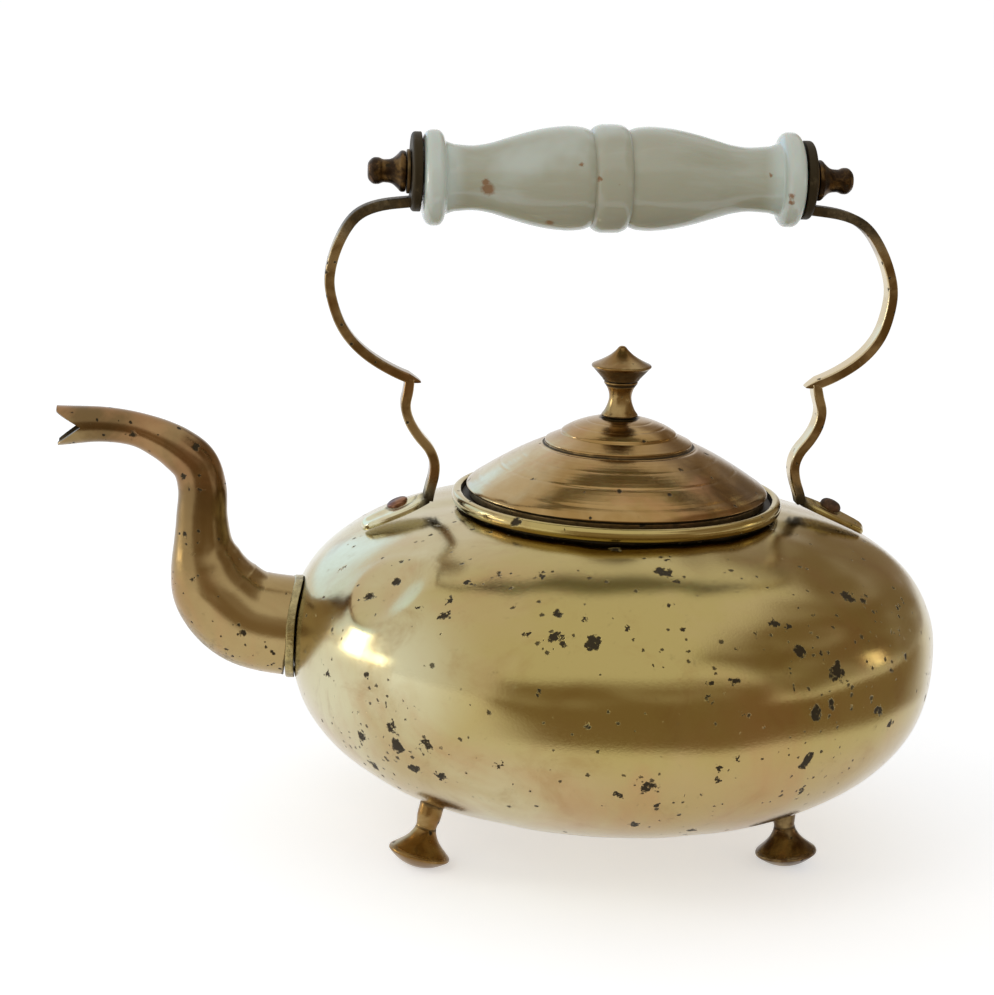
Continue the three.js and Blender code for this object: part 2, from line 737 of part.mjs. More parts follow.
function footBlank(row) {
  const { axis, foot } = footFrame(row);
  const domeShares = [[0.3, 0.09], [0.6, 0.36], [0.84, 0.7], [1, 1]];
  const dome = domeShares.map(([out, up]) => [out * footDiscRadius, up * footDomeDepth]);
  const flare = footDiscRadius - footNeckRadius;
  const rise = footFlareHeight - footDomeDepth;
  const flareShares = [[0.975, 0.11], [0.78, 0.27], [0.51, 0.44], [0.27, 0.61], [0.085, 0.82], [0, 1]];
  const waist = flareShares.map(([out, up]) => [
    footNeckRadius + out * flare, footDomeDepth + up * rise,
  ]);
  const top = footFlareHeight + 2 * footNeckRadius;
  const profile = [
    [0, 0], ...dome, ...waist, [footTopRadius, footFlareHeight + footNeckRadius],
    [footTopRadius, top + 2 * cutOverrun], [0, top + 2 * cutOverrun],
  ];
  return toSolid(placedTurning(profile, footFacets, foot, axis));
}

function floorCut() {
  const size = 2 * bodyRadius;
  const slabBelow = new THREE.BoxGeometry(size, size, cutOverrun).translate(0, 0, -cutOverrun / 2);
  return toSolid(slabBelow);
}

function foot(row) {
  return toGeometry(footBlank(row)
    .subtract(bodyEnvelope(footPadThickness + 2 * fitGap))
    .subtract(floorCut()));
}

// Where a foot's axis meets the belly, and the belly's normal there.
function footPad(row) {
  const { outward, axis, foot: base } = footFrame(row);
  let place = base.clone();
  for (let i = 0; i < 8; i += 1) {
    const reach = Math.hypot(place.x, place.y);
    place = base.clone().addScaledVector(axis, (bellyHeight(reach) - base.z) / axis.z);
  }
  const slope = Math.atan(bellySlope(Math.hypot(place.x, place.y)));
  const normal = outward.clone().multiplyScalar(Math.sin(slope)).setZ(-Math.cos(slope));
  const start = place.clone().addScaledVector(normal, -cutOverrun);
  const column = placedTurning(rod(footPadRadius, 2 * cutOverrun), footFacets, start, normal);
  return toGeometry(toSolid(column).intersect(jacket(fitGap, fitGap + footPadThickness)));
}

// Assembly
const kettle = new THREE.Group();

function add(name, geometry, finish, place = new THREE.Vector3(), axis = new THREE.Vector3(0, 0, 1)) {
  const mesh = new THREE.Mesh(closed(geometry), finish);
  mesh.name = name;
  mesh.position.copy(place);
  mesh.quaternion.setFromUnitVectors(new THREE.Vector3(0, 0, 1), axis);
  kettle.add(mesh);
}

const onAxis = (height) => new THREE.Vector3(0, 0, height);

add('body_shell', bodyShell(), bodyBrass());
add('base_plate', basePlate(), bodyBrass());
add('collar_ring', collarRing(), bodyBrass());
add('spout_tube', spoutTube(), bodyBrass());
add('spout_flange', spoutFlange(), bodyBrass());

add('lid_dome', lidDome(), lidBrass());
add('lid_bezel', lidBezel(), lidBrass());
add('knob_stem', knobStem(), castBrass(), onAxis(knobFoot));
add('knob_cap', knobCap(), castBrass(), onAxis(knobCapFoot));
add('knob_stud', turned(rod(studRadius, knobCapFoot + studReach - studFoot), rivetFacets),
  castBrass(), onAxis(studFoot));
add('knob_nut', hexNut(), castBrass(), onAxis(studFoot + studTail));

for (const [side, end] of [[-1, 'spout_side'], [1, 'tail_side']]) {
  const seat = rivetSeat(side);
  const out = new THREE.Vector3(side, 0, 0);
  const along = (distance) => new THREE.Vector3(side * distance - handleRack, 0, gripHeight);
  add(`handle_strap_${end}`, handleStrap(side), strapBrass());
  add(`pad_rivet_${end}`, padRivet(), rivetCopper(), seat.point, seat.axis);
  add(`rivet_burr_${end}`, turned(ring(rivetRadius + fitGap, burrRadius, 0, burrThickness), rivetFacets),
    rivetCopper(), seat.point.clone().addScaledVector(seat.axis, -burrDepth), seat.axis);
  add(`nut_washer_${end}`, turned(ring(rodRadius + fitGap, washerRadius, 0, washerThickness), nutFacets),
    castBrass(), along(washerFace), out);
  add(`finial_nut_${end}`, finialNut(), darkBrass(), along(nutFace), out);
}

const rodHalf = nutFace + nutBoreDepth - fitGap;
const gripMiddle = new THREE.Vector3(-handleRack, 0, gripHeight - gripHang);
const gripAxis = new THREE.Vector3(Math.cos(gripTilt * degrees), 0, Math.sin(gripTilt * degrees));
add('glass_grip', turned(gripProfile(), gripFacets), opalGlass(), gripMiddle, gripAxis);
add('handle_rod', turned(rod(rodRadius, 2 * rodHalf), knobFacets), darkBrass(),
  new THREE.Vector3(-handleRack - rodHalf, 0, gripHeight), new THREE.Vector3(1, 0, 0));

for (const row of footRows) {
  add(row.name, foot(row), castBrass());
  add(`${row.name}_pad`, footPad(row), castBrass());
}

// The origin is the middle of the assembly's box in plan, on the floor.
kettle.updateMatrixWorld(true);
const box = new THREE.Box3().setFromObject(kettle, true);
const middle = box.getCenter(new THREE.Vector3());
kettle.position.set(-middle.x, -middle.y, -box.min.z);
kettle.updateMatrixWorld(true);

export default kettle;
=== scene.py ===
"""Tripod kettle: its smooth brass, copper and glass pieces, their finishes and a plain studio.

Every piece is worked out from the sizes in the panel, in metres: +Z up, spout towards -X, seen from -Y.
"""
import math

import bpy
import numpy as np
from bpy.props import FloatProperty, FloatVectorProperty, PointerProperty
from mathutils import Matrix, Vector


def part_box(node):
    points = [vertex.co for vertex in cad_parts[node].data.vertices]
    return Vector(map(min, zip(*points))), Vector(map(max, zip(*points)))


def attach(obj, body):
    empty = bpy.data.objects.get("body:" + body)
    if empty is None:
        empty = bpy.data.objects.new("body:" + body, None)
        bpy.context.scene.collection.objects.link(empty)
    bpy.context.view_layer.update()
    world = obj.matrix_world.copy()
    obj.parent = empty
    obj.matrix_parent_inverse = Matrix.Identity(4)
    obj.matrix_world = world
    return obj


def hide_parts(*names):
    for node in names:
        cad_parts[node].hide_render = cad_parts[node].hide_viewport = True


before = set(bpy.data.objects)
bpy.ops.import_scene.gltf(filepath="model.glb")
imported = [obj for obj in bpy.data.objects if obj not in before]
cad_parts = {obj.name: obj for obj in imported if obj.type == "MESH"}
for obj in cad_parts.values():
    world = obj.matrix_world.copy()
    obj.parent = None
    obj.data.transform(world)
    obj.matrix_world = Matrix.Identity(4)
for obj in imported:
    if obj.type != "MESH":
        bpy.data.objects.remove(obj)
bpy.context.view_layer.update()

bl_info = {
    "name": "Tripod kettle",
    "version": (1, 0, 0),
    "blender": (4, 5, 0),
    "location": "3D View > Sidebar > Kettle",
    "description": "Builds a squat brass kettle on three feet with a pale glass grip",
    "category": "Add Mesh",
}

MM = 0.001
COLLAR_LOW, COLLAR_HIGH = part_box("collar_ring")
AXIS = np.array([(COLLAR_LOW.x + COLLAR_HIGH.x) / 2, 0.0, 0.0])
FIT_GAP = 0.3 * MM
UP = np.array([0.0, 0.0, 1.0])
SEAM_GAP = 0.06 * MM
STUD_HOLE = 1.8 * MM
SMALL = 0.01 * MM        # the step over which a slope is measured
BODY_COLUMNS = 448
TURNED_COLUMNS = 256
SMALL_COLUMNS = 96
PICTURE_WIDTH = 994


# Settings

def length(name, millimetres, description):
    """A size kept in metres, with its default given in millimetres."""
    return FloatProperty(name=name, description=description, default=millimetres * MM,
                         unit="LENGTH", precision=5)


def share(name, value, description):
    """A plain number, such as a share or a power."""
    return FloatProperty(name=name, description=description, default=value, precision=3)


def turn(name, degrees, description):
    """An angle, with its default given in degrees."""
    return FloatProperty(name=name, description=description, default=math.radians(degrees),
                         unit="ROTATION")


def tint(name, red, green, blue, description):
    """A linear colour."""
    return FloatVectorProperty(name=name, description=description, default=(red, green, blue),
                               size=3, subtype="COLOR", min=0, max=1)


class KettleBodySizes(bpy.types.PropertyGroup):
    """Sizes of the raised body, its base plate and the collar round its mouth."""
    radius: length("Radius", 94.6, "Widest radius of the body")
    equator_height: length("Widest height", 60.5, "Height of the widest ring over the floor")
    crown_height: length("Crown height", 102, "Height that the shoulder curve rises to")
    underside_height: length("Underside height", 13.7, "Height of the flat under the belly")
    flat_radius: length("Flat radius", 16.4, "Radius of the flat under the belly")
    shoulder_power: share("Shoulder fullness", 2.5, "Power of the shoulder's superellipse")
    belly_power: share("Belly fullness", 2.4, "Power of the belly's superellipse")
    wall: length("Sheet", 1.2, "Thickness of the brass sheet")
    seam_radius: length("Seam radius", 68, "Radius of the seam round the base plate")
    dent_radius: length("Dent radius", 13.3, "Radius of the dent on the left shoulder")
    dent_depth: length("Dent depth", 2.2, "Depth of the dent")
    dent_bearing: turn("Dent bearing", -146.5, "Direction of the dent from the body's axis")
    dent_height: length("Dent height", 86, "Height of the dent's middle")
    wave: length("Wave", 0.11, "Height of the shallow waves left by the hammer")
    collar_radius: length("Collar radius", 48.1, "Outer radius of the bead round the mouth")
    collar_height: length("Collar height", 103.5, "Top of the bead")
    neck_radius: length("Neck radius", 45.2, "Outer radius of the neck inside the bead")
    neck_depth: length("Neck depth", 11, "How far the neck goes down into the body")
    ledge_radius: length("Ledge radius", 41.5, "Inner radius of the ledge under the lid")
    ledge_drop: length("Ledge drop", 1.8, "How far the ledge lies below the bead's top")
    ledge_thickness: length("Ledge thickness", 1, "Thickness of the ledge")


class KettleLidSizes(bpy.types.PropertyGroup):
    """Sizes of the stepped lid and its knob."""
    radius: length("Radius", 43.9, "Outer radius of the lid")
    rim_height: length("Rim height", 105.3, "Top of the lid's rim over the floor")
    wall: length("Wall", 1.1, "Thickness of the lid")
    step_radius: length("Step radius", 21.4, "Radius of the step round the top dome")
    step_height: length("Step height", 117.8, "Height of the slope's top")
    step_rise: length("Step rise", 0.9, "Height of the step")
    dome_radius: length("Dome radius", 16.8, "Radius of the top dome")
    dome_height: length("Dome height", 120.8, "Height of the top dome's foot")
    top_height: length("Top height", 125.7, "Height of the top dome")
    slope_power: share("Slope power", 1.25, "How much the slope is hollowed")
    plug_radius: length("Plug radius", 41.2, "Outer radius of the ring that plugs into the mouth")
    seat_radius: length("Seat radius", 43, "Radius of the ring's seat on the ledge")
    plug_depth: length("Plug depth", 9, "How far the ring goes into the mouth")
    stem_length: length("Stem length", 10.2, "Length of the knob's stem")
    stem_foot: length("Stem foot", 5.3, "Radius of the stem at its foot")
    stem_neck: length("Stem neck", 3.2, "Radius of the stem's waist")
    stem_flange: length("Stem flange", 4.9, "Radius of the stem's top flange")
    cap_radius: length("Cap radius", 8.75, "Radius of the knob's saucer cap")
    cap_height: length("Cap height", 10, "Height of the cap with its point")
    cap_foot: length("Cap foot", 5.2, "Radius of the cap's foot")


class KettleSpoutSizes(bpy.types.PropertyGroup):
    """Sizes of the swan-neck spout."""
    root_radius: length("Root radius", 14.5, "Radius of the tube at its root")
    start: length("Start", 86.8, "Distance from the body's axis to the start of the centreline")
    reach: length("Reach", 160.98, "Distance from the body's axis to the tip")
    root_height: length("Root height", 62.2, "Height of the root over the floor")
    tip_height: length("Tip height", 121.2, "Height of the tip over the floor")
    wall: length("Wall", 1.2, "Thickness of the tube")
    bore: length("Tip bore", 4.9, "Radius of the bore at the tip")
    flange_radius: length("Flange radius", 15, "Radius of the ring round the root")
    flange_height: length("Flange height", 2.6, "How far the ring stands off the body")
    fork_depth: length("Fork depth", 6.6, "Depth of the fork in the mouth")
    fork_lip: length("Fork lip", 0.9, "Width of each jaw at its tip")


class KettleHandleSizes(bpy.types.PropertyGroup):
    """Sizes of the forged straps, their pads and rivets."""
    width: length("Strap width", 6.5, "Width of the strap")
    thickness: length("Strap thickness", 2.9, "Thickness of the strap")
    top: length("Top", 186.9, "Height at which the strap leaves its lug")
    bow: length("Bow", 81.4, "Widest reach of the strap")
    bow_height: length("Bow height", 163.9, "Height of the widest reach")
    cusp: length("Cusp reach", 56.1, "Reach of the cusp")
    cusp_height: length("Cusp height", 135.3, "Height of the cusp")
    notch: length("Notch reach", 60.6, "Reach of the notch under the cusp")
    notch_height: length("Notch height", 133.3, "Height of the notch")
    waist: length("Waist reach", 52.8, "Least reach of the strap above its root")
    root: length("Root reach", 55, "Reach of the strap's root")
    rack: length("Rack", 5, "How far the whole handle is pushed towards the spout at the top")
    pad_reach: length("Pad reach", 73.5, "Reach of the pad's tip")
    pad_width: length("Pad half width", 7.2, "Half width of the leaf-shaped pad")
    pad_thickness: length("Pad thickness", 2, "Thickness of the pad at its edge")
    pad_ridge: length("Pad ridge", 0.8, "Height of the ridge along the pad")
    pad_lift: turn("Pad lift", 6.5, "How far each pad has sprung up from the shoulder")
    rivet_reach: length("Rivet reach", 62.2, "Reach of the pad's rivet")
    rivet_radius: length("Rivet radius", 3.2, "Radius of the rivet's head")
    rivet_rise: length("Rivet rise", 2.1, "Height of the rivet's head")
    lug_radius: length("Lug radius", 11.2, "Radius of the round lug outside the grip")
    lug_thickness: length("Lug thickness", 2.8, "Thickness of the lug")


class KettleGripSizes(bpy.types.PropertyGroup):
    """Sizes of the glass grip, its rod and the nuts outside the lugs."""
    height: length("Rod height", 195.2, "Height of the rod over the floor")
    half_length: length("Half length", 54, "Half of the glass's length")
    flange_width: length("Flange width", 6.5, "Width of the flange at each end")
    flange_radius: length("Flange radius", 13.4, "Radius of the flanges")
    neck_radius: length("Neck radius", 9.1, "Radius of the necks")
    neck_place: length("Neck place", 39.4, "Distance of the necks from the bead")
    bulge_radius: length("Bulge radius", 14.7, "Radius of the bulges beside the bead")
    bulge_place: length("Bulge place", 12.6, "Distance of the bulges from the bead")
    groove_radius: length("Groove radius", 13.5, "Radius of the grooves beside the bead")
    bead_radius: length("Bead radius", 15.3, "Radius of the bead")
    bead_width: length("Bead width", 10.4, "Width of the bead")
    bead_shift: length("Bead shift", 1, "How far the bead stands off the middle")
    bore: length("Bore", 4.6, "Radius of the bore")
    end_gap: length("End gap", 0.5, "Gap between the glass and each lug")
    hang: length("Hang", 0.8, "How far the glass hangs below its rod")
    tilt: turn("Tilt", 0.9, "How far the glass hangs askew")
    rod_radius: length("Rod radius", 2.6, "Radius of the rod")
    washer_radius: length("Washer radius", 6.2, "Radius of the washers")
    washer_thickness: length("Washer thickness", 0.9, "Thickness of the washers")
    nut_length: length("Nut length", 10.6, "Length of the finial nuts")
    nut_foot: length("Nut foot", 5.9, "Radius of a nut at its foot")
    nut_neck: length("Nut neck", 3.3, "Radius of a nut's neck")
    nut_end: length("Nut end", 3.75, "Radius of a nut's end")


class KettleFootSizes(bpy.types.PropertyGroup):
    """Sizes shared by the three baluster feet."""
    disc_radius: length("Disc radius", 8.9, "Radius of the saucer disc")
    neck_radius: length("Neck radius", 3, "Radius of the neck")
    top_radius: length("Top radius", 3.5, "Radius of the stem under the belly")
    dome_depth: length("Dome depth", 3.6, "Depth of the dome under the disc")
    worn_depth: length("Worn depth", 0.4, "How much of the dome is worn flat")
    flare_height: length("Flare height", 11.8, "Height of the flare over the dome's foot")
    pad_radius: length("Pad radius", 5, "Radius of the pad that the foot is soldered on by")
    pad_thickness: length("Pad thickness", 0.9, "Thickness of that pad")


class KettleColours(bpy.types.PropertyGroup):
    """Colours of the finishes."""
    body: tint("Body brass", 0.400, 0.310, 0.110, "Olive gold of the body")
    # The paler clouds in the brass, and painted light low on the body and on the spout
    body_pale: tint("Pale body brass", 0.430, 0.318, 0.145, "Pale gold where the body is rubbed bright")
    # A whitish tone painted as a sheen of light: on the body's left side, the lid's left side and the spout
    # side's pad
    painted_sheen: tint("Silvery brass", 0.620, 0.585, 0.390, "Where the left side is rubbed nearly white")
    blush: tint("Blush", 0.420, 0.215, 0.100, "Pink where zinc has left the brass")
    lid: tint("Lid brass", 0.300, 0.178, 0.058, "Coppery brass of the lid")
    lid_pale: tint("Pale lid brass", 0.430, 0.290, 0.125, "Rubbed brass of the lid")
    spout: tint("Spout brass", 0.285, 0.190, 0.078, "Browner brass of the spout")
    cast: tint("Cast brass", 0.215, 0.120, 0.036, "Golden cast brass of the knob and feet")
    # A brown painted as shade: on the right foot, one side of the knob's cap, the lid's right side and the
    # spout's upper arm
    painted_shade: tint("Umber", 0.072, 0.038, 0.016, "Dark brown of the right foot and of one side of the cap")
    strap: tint("Strap brass", 0.190, 0.118, 0.045, "Brown brass of the straps")
    # The paler clouds in the straps' brass, and painted light on their inner faces
    strap_pale: tint("Worn strap brass", 0.620, 0.500, 0.300, "Brass worn bright on the straps")
    dark: tint("Dark brass", 0.030, 0.018, 0.010, "Nearly black brass of lugs and nuts")
    copper: tint("Copper", 0.130, 0.062, 0.052, "Mauve brown of the rivets")
    tarnish: tint("Tarnish", 0.038, 0.027, 0.012, "Olive brown of pits and grime")
    glass: tint("Opaline glass", 0.400, 0.390, 0.285, "Greenish white of the glass")
    # Also painted as a sheen where the glass is seen edge-on
    glass_rim: tint("Glass rim", 0.640, 0.720, 0.660, "Cool milky white of the glass's thin parts")
    stain: tint("Stain", 0.250, 0.120, 0.040, "Brown stain on the glass")


class KettleStudio(bpy.types.PropertyGroup):
    """The camera, the lamps and the floor."""
    azimuth: turn("Azimuth", -5.89, "Where the camera stands round the kettle")
    elevation: turn("Elevation", 13, "How far the camera looks down")
    roll: turn("Roll", 1.85, "How far the camera is tilted sideways")
    distance: length("Distance", 700, "Distance from the camera to the point it looks at")
    target_x: length("Target across", -34.95, "Aimed point, across from the body's axis")
    target_z: length("Target height", 101.26, "Aimed point, over the floor")
    focal: share("Focal length", 2404.22, "Focal length in picture widths of 994 pixels")
    room_light: share("Room light", 0.62, "Strength of the even light on matt surfaces")
    floor_tone: share("Floor tone", 0.82, "How pale the floor is")
    floor_lift: share("Floor lift", 0.50, "How much the seen floor is lifted towards white")


# Paths and surfaces

def even_path(path, count):
    """The same path with its points spread evenly along its length."""
    run = np.concatenate([[0.0], np.cumsum(np.linalg.norm(np.diff(path, axis=0), axis=1))])
    want = np.linspace(0.0, run[-1], count)
    return np.stack([np.interp(want, run, path[:, axis]) for axis in range(path.shape[1])], axis=-1)


def filled_path(path, spacing):
    """The same path with points added, so that none are further apart than a spacing."""
    run = np.concatenate([[0.0], np.cumsum(np.linalg.norm(np.diff(path, axis=0), axis=1))])
    want = np.union1d(run, np.arange(0.0, run[-1], spacing))
    want = want[np.concatenate([[True], np.diff(want) > spacing * 0.05])]
    return np.stack([np.interp(want, run, path[:, axis]) for axis in range(path.shape[1])], axis=-1)


def smooth_path(points, count):
    """A centripetal Catmull-Rom curve through points: cubic stretches whose knots lie apart by
    the root of the distance between points."""
    points = np.asarray(points, float)
    wide = np.vstack([2 * points[0] - points[1], points, 2 * points[-1] - points[-2]])
    gaps = np.sqrt(np.linalg.norm(np.diff(wide, axis=0), axis=1))
    knot = np.concatenate([[0.0], np.cumsum(gaps)])
    at = np.linspace(knot[1], knot[-2], 60 * len(points))
    low = np.clip(np.searchsorted(knot, at, side="right") - 1, 1, len(wide) - 3)
    before, start, end, after = (knot[low + step] for step in (-1, 0, 1, 2))

    def blend(first, last, first_at, last_at):
        """Where a straight move from the first to the last place has come to."""
        part = ((at - first_at) / (last_at - first_at))[:, None]
        return first + (last - first) * part

    corners = [wide[low + step] for step in (-1, 0, 1, 2)]
    left = blend(corners[0], corners[1], before, start)
    middle = blend(corners[1], corners[2], start, end)
    right = blend(corners[2], corners[3], end, after)
    curve = blend(blend(left, middle, before, end), blend(middle, right, start, after), start, end)
    return even_path(curve, count)


def relaxed(path, times=80):
    """The same path with its bends smoothed: each place is averaged with both neighbours, again and
    again, while the ends stay."""
    path = path.copy()
    for _ in range(times):
        path[1:-1] = (path[:-2] + 2 * path[1:-1] + path[2:]) / 4
    return path


def eased(corners, closed=False, steps=7):
    """A path with eased corners. A row is (a, b, ease): a parabola leaves the straight stretch that
    far before the corner and joins the next as far after it, at most half of either stretch."""
    corners = np.asarray(corners, float)
    place = corners[:, :2]
    back = np.roll(place, 1, axis=0) - place
    on = np.roll(place, -1, axis=0) - place
    back_run = np.linalg.norm(back, axis=1)
    on_run = np.linalg.norm(on, axis=1)
    ease = np.minimum(corners[:, 2], np.minimum(back_run, on_run) / 2)
    if not closed:
        ease[[0, -1]] = 0.0
    leave = place + back * (ease / np.maximum(back_run, 1e-9))[:, None]
    join = place + on * (ease / np.maximum(on_run, 1e-9))[:, None]
    t = np.linspace(0.0, 1.0, steps)[None, :, None]
    curve = (1 - t) ** 2 * leave[:, None] + 2 * t * (1 - t) * place[:, None] + t ** 2 * join[:, None]
    path = curve.reshape(-1, 2)
    fresh = np.concatenate([[True], np.linalg.norm(np.diff(path, axis=0), axis=1) > 1e-7])
    return path[fresh]


def bell(value, middle, width):
    """1 where a value is at the middle, falling away on both sides as a bell curve of that width."""
    return np.exp(-((value - middle) / width) ** 2)


def unit(value):
    """A value kept between 0 and 1."""
    return np.clip(value, 0, 1)


def ring_angles(columns):
    """Evenly spaced angles of one full turn, without the last one, which is the first again."""
    return np.arange(columns) * (2 * math.pi / columns)


def spun(path, columns):
    """Each (radius, height) of a path turned about the upright axis: rows of rings."""
    angle = ring_angles(columns)
    radius, height = path[:, 0, None], path[:, 1, None]
    return np.stack([radius * np.cos(angle), radius * np.sin(angle), height + 0 * angle], axis=-1)


def turned(path, columns, point=(0.0, 0.0, 0.0), axis=(0.0, 0.0, 1.0)):
    """A path of (radius, height) turned about an axis through a point, its height along the axis."""
    turning = Vector(UP).rotation_difference(Vector(axis)).to_matrix()
    return spun(path, columns) @ np.array(turning).T + np.asarray(point, float)


def outward(path):
    """Unit normals to the right-hand side of a path's direction."""
    along = np.gradient(path, axis=0)
    along /= np.maximum(np.linalg.norm(along, axis=1, keepdims=True), 1e-12)
    return np.stack([along[:, 1], -along[:, 0]], axis=-1)


def polygons(points, wrap_rows):
    """Corner numbers of a grid's faces. Columns close on themselves, rows do if asked. A row that
    has shrunk to one place is a pole, with triangles round it."""
    rows, columns = points.shape[:2]
    index = np.arange(rows * columns).reshape(rows, columns)
    pole = np.ptp(points, axis=1).max(axis=1) < 1e-8
    index[pole] = index[pole, :1]
    index = np.hstack([index, index[:, :1]])
    if wrap_rows:
        index = np.vstack([index, index[:1]])
    corners = np.stack([index[:-1, :-1], index[:-1, 1:], index[1:, 1:], index[1:, :-1]], axis=-1)
    corners = corners.reshape(-1, 4)
    fresh = corners != np.roll(corners, 1, axis=1)
    count = fresh.sum(axis=1)
    triangles = corners[count == 3][fresh[count == 3]].reshape(-1, 3)
    return corners[count == 4], triangles


def enclosed(points, quads, triangles):
    """Six times the volume inside a shell; it is negative where the faces point inwards."""
    flat = points.reshape(-1, 3)
    fans = np.vstack([quads[:, [0, 1, 2]], quads[:, [0, 2, 3]], triangles])
    a, b, c = (flat[fans[:, corner]] for corner in range(3))
    return np.einsum("ij,ij->", a, np.cross(b, c))


def shell(points, grime_and_shading=0.0, wrap_rows=False):
    """One closed surface: its grid of places, and how much grime and painted shading each has: 1 darkest, 0
    plain, -1 paler with painted light.
    """
    grime_and_shading = np.broadcast_to(np.asarray(grime_and_shading, float), points.shape[:2])
    quads, triangles = polygons(points, wrap_rows)
    if enclosed(points - points.reshape(-1, 3).mean(axis=0), quads, triangles) < 0:
        quads, triangles = quads[:, ::-1], triangles[:, ::-1]
    return points.reshape(-1, 3), grime_and_shading.reshape(-1), quads, triangles


def piece(name, shells, material, body, nodes):
    """An object made of closed shells, which rides on a body and stands for CAD nodes."""
    starts = np.cumsum([0] + [len(part[0]) for part in shells])
    points = np.vstack([part[0] for part in shells])
    grime_and_shading = np.concatenate([part[1] for part in shells])
    quads = np.vstack([part[2] + start for part, start in zip(shells, starts)])
    triangles = np.vstack([part[3] + start for part, start in zip(shells, starts)])
    used, numbers = np.unique(np.concatenate([quads.ravel(), triangles.ravel()]), return_inverse=True)
    quads = numbers[:quads.size].reshape(-1, 4)
    triangles = numbers[quads.size:].reshape(-1, 3)
    mesh = bpy.data.meshes.new(name)
    mesh.from_pydata((points[used] + AXIS).tolist(), [], quads.tolist() + triangles.tolist())
    mesh.attributes.new("grime_and_shading", "FLOAT", "POINT").data.foreach_set("value", grime_and_shading[used])
    mesh.polygons.foreach_set("use_smooth", np.ones(len(mesh.polygons), bool))
    mesh.set_sharp_from_angle(angle=math.radians(40))
    mesh.materials.append(material)
    made = bpy.data.objects.new(name, mesh)
    bpy.context.scene.collection.objects.link(made)
    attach(made, body)
    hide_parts(*nodes)
    return made


# Shader nodes

def fed(tree, made, values):
    """A node with its inputs filled: a value that is a socket is linked, any other is set."""
    for key, value in values.items():
        if isinstance(value, bpy.types.NodeSocket):
            tree.links.new(value, made.inputs[key])
        else:
            made.inputs[key].default_value = value
    return made


def node(tree, kind, values=None, **settings):
    """A shader node with its settings and its inputs."""
    made = tree.nodes.new(kind)
    for name, setting in settings.items():
        setattr(made, name, setting)
    return fed(tree, made, values or {})


def placed(tree, group, values):
    """A node group placed in a material with its own values."""
    return node(tree, "ShaderNodeGroup", values, node_tree=group).outputs


def maths(tree, operation, first, second=0.0, third=0.0, clamp=False):
    """A sum of values or sockets. MULTIPLY_ADD adds the third to the product of the first two."""
    return node(tree, "ShaderNodeMath", {0: first, 1: second, 2: third}, operation=operation,
                use_clamp=clamp).outputs[0]


def vectors(tree, operation, first, second):
    """A sum of two vectors."""
    made = node(tree, "ShaderNodeVectorMath", {0: first, 1: second}, operation=operation)
    return made.outputs["Value" if operation in ("DISTANCE", "DOT_PRODUCT", "LENGTH") else "Vector"]


def smooth_step(tree, value, low, high, to_low=0.0, to_high=1.0):
    """A value that rises smoothly from one number to another between two limits."""
    return node(tree, "ShaderNodeMapRange", {"Value": value, "From Min": low, "From Max": high,
                                             "To Min": to_low, "To Max": to_high},
                interpolation_type="SMOOTHSTEP").outputs[0]


def opaque(colour):
    """A colour with its alpha."""
    return (*colour, 1.0)


def mixed(tree, factor, first, second):
    """Two colours mixed by a factor."""
    return node(tree, "ShaderNodeMix", {0: factor, 6: first, 7: second}, data_type="RGBA",
                clamp_factor=True).outputs[2]


def tinted(tree, colour, mask, share_in, tone):
    """A colour that turns into a tone by a share of a mask."""
    return mixed(tree, maths(tree, "MULTIPLY", mask, share_in), colour, opaque(tone))


def noise(tree, vector, scale, detail=3.0, roughness=0.55, distortion=0.0, output="Fac"):
    """Cloudy noise between 0 and 1."""
    return node(tree, "ShaderNodeTexNoise", {
        "Vector": vector, "Scale": scale, "Detail": detail, "Roughness": roughness,
        "Distortion": distortion}).outputs[output]


def ragged(tree, place, scale, reach):
    """Places moved by a noise, for shapes with ragged edges."""
    cloud = noise(tree, place, scale, 4.0, 0.65, output="Color")
    centred = vectors(tree, "SUBTRACT", cloud, (0.5, 0.5, 0.5))
    moved = node(tree, "ShaderNodeVectorMath", {0: centred, 3: reach}, operation="SCALE")
    return vectors(tree, "ADD", place, moved.outputs["Vector"])


def spots(tree, place, rows, edge=0.35):
    """A mask of round spots. A row is (place, radius), and each spot fades out over a share of it."""
    mask = None
    for middle, radius in rows:
        away = vectors(tree, "DISTANCE", place, tuple(middle))
        spot = smooth_step(tree, away, radius, radius * (1 - edge))
        mask = maths(tree, "MAXIMUM", mask, spot) if mask else spot
    return mask


def new_group(name, inputs, outputs):
    """An empty shader group with named sockets, what it is given, and its end. An input's default
    says its kind: a number, a colour, or None for a vector. The output Color is a colour, and any
    other is a number."""
    group = bpy.data.node_groups.new(name, "ShaderNodeTree")
    kinds = {float: "NodeSocketFloat", tuple: "NodeSocketColor", type(None): "NodeSocketVector"}
    for title, default in inputs.items():
        socket = group.interface.new_socket(title, in_out="INPUT", socket_type=kinds[type(default)])
        if default is not None:
            socket.default_value = default
    for title in outputs:
        kind = kinds[tuple if title == "Color" else float]
        group.interface.new_socket(title, in_out="OUTPUT", socket_type=kind)
    return group, group.nodes.new("NodeGroupInput").outputs, group.nodes.new("NodeGroupOutput")


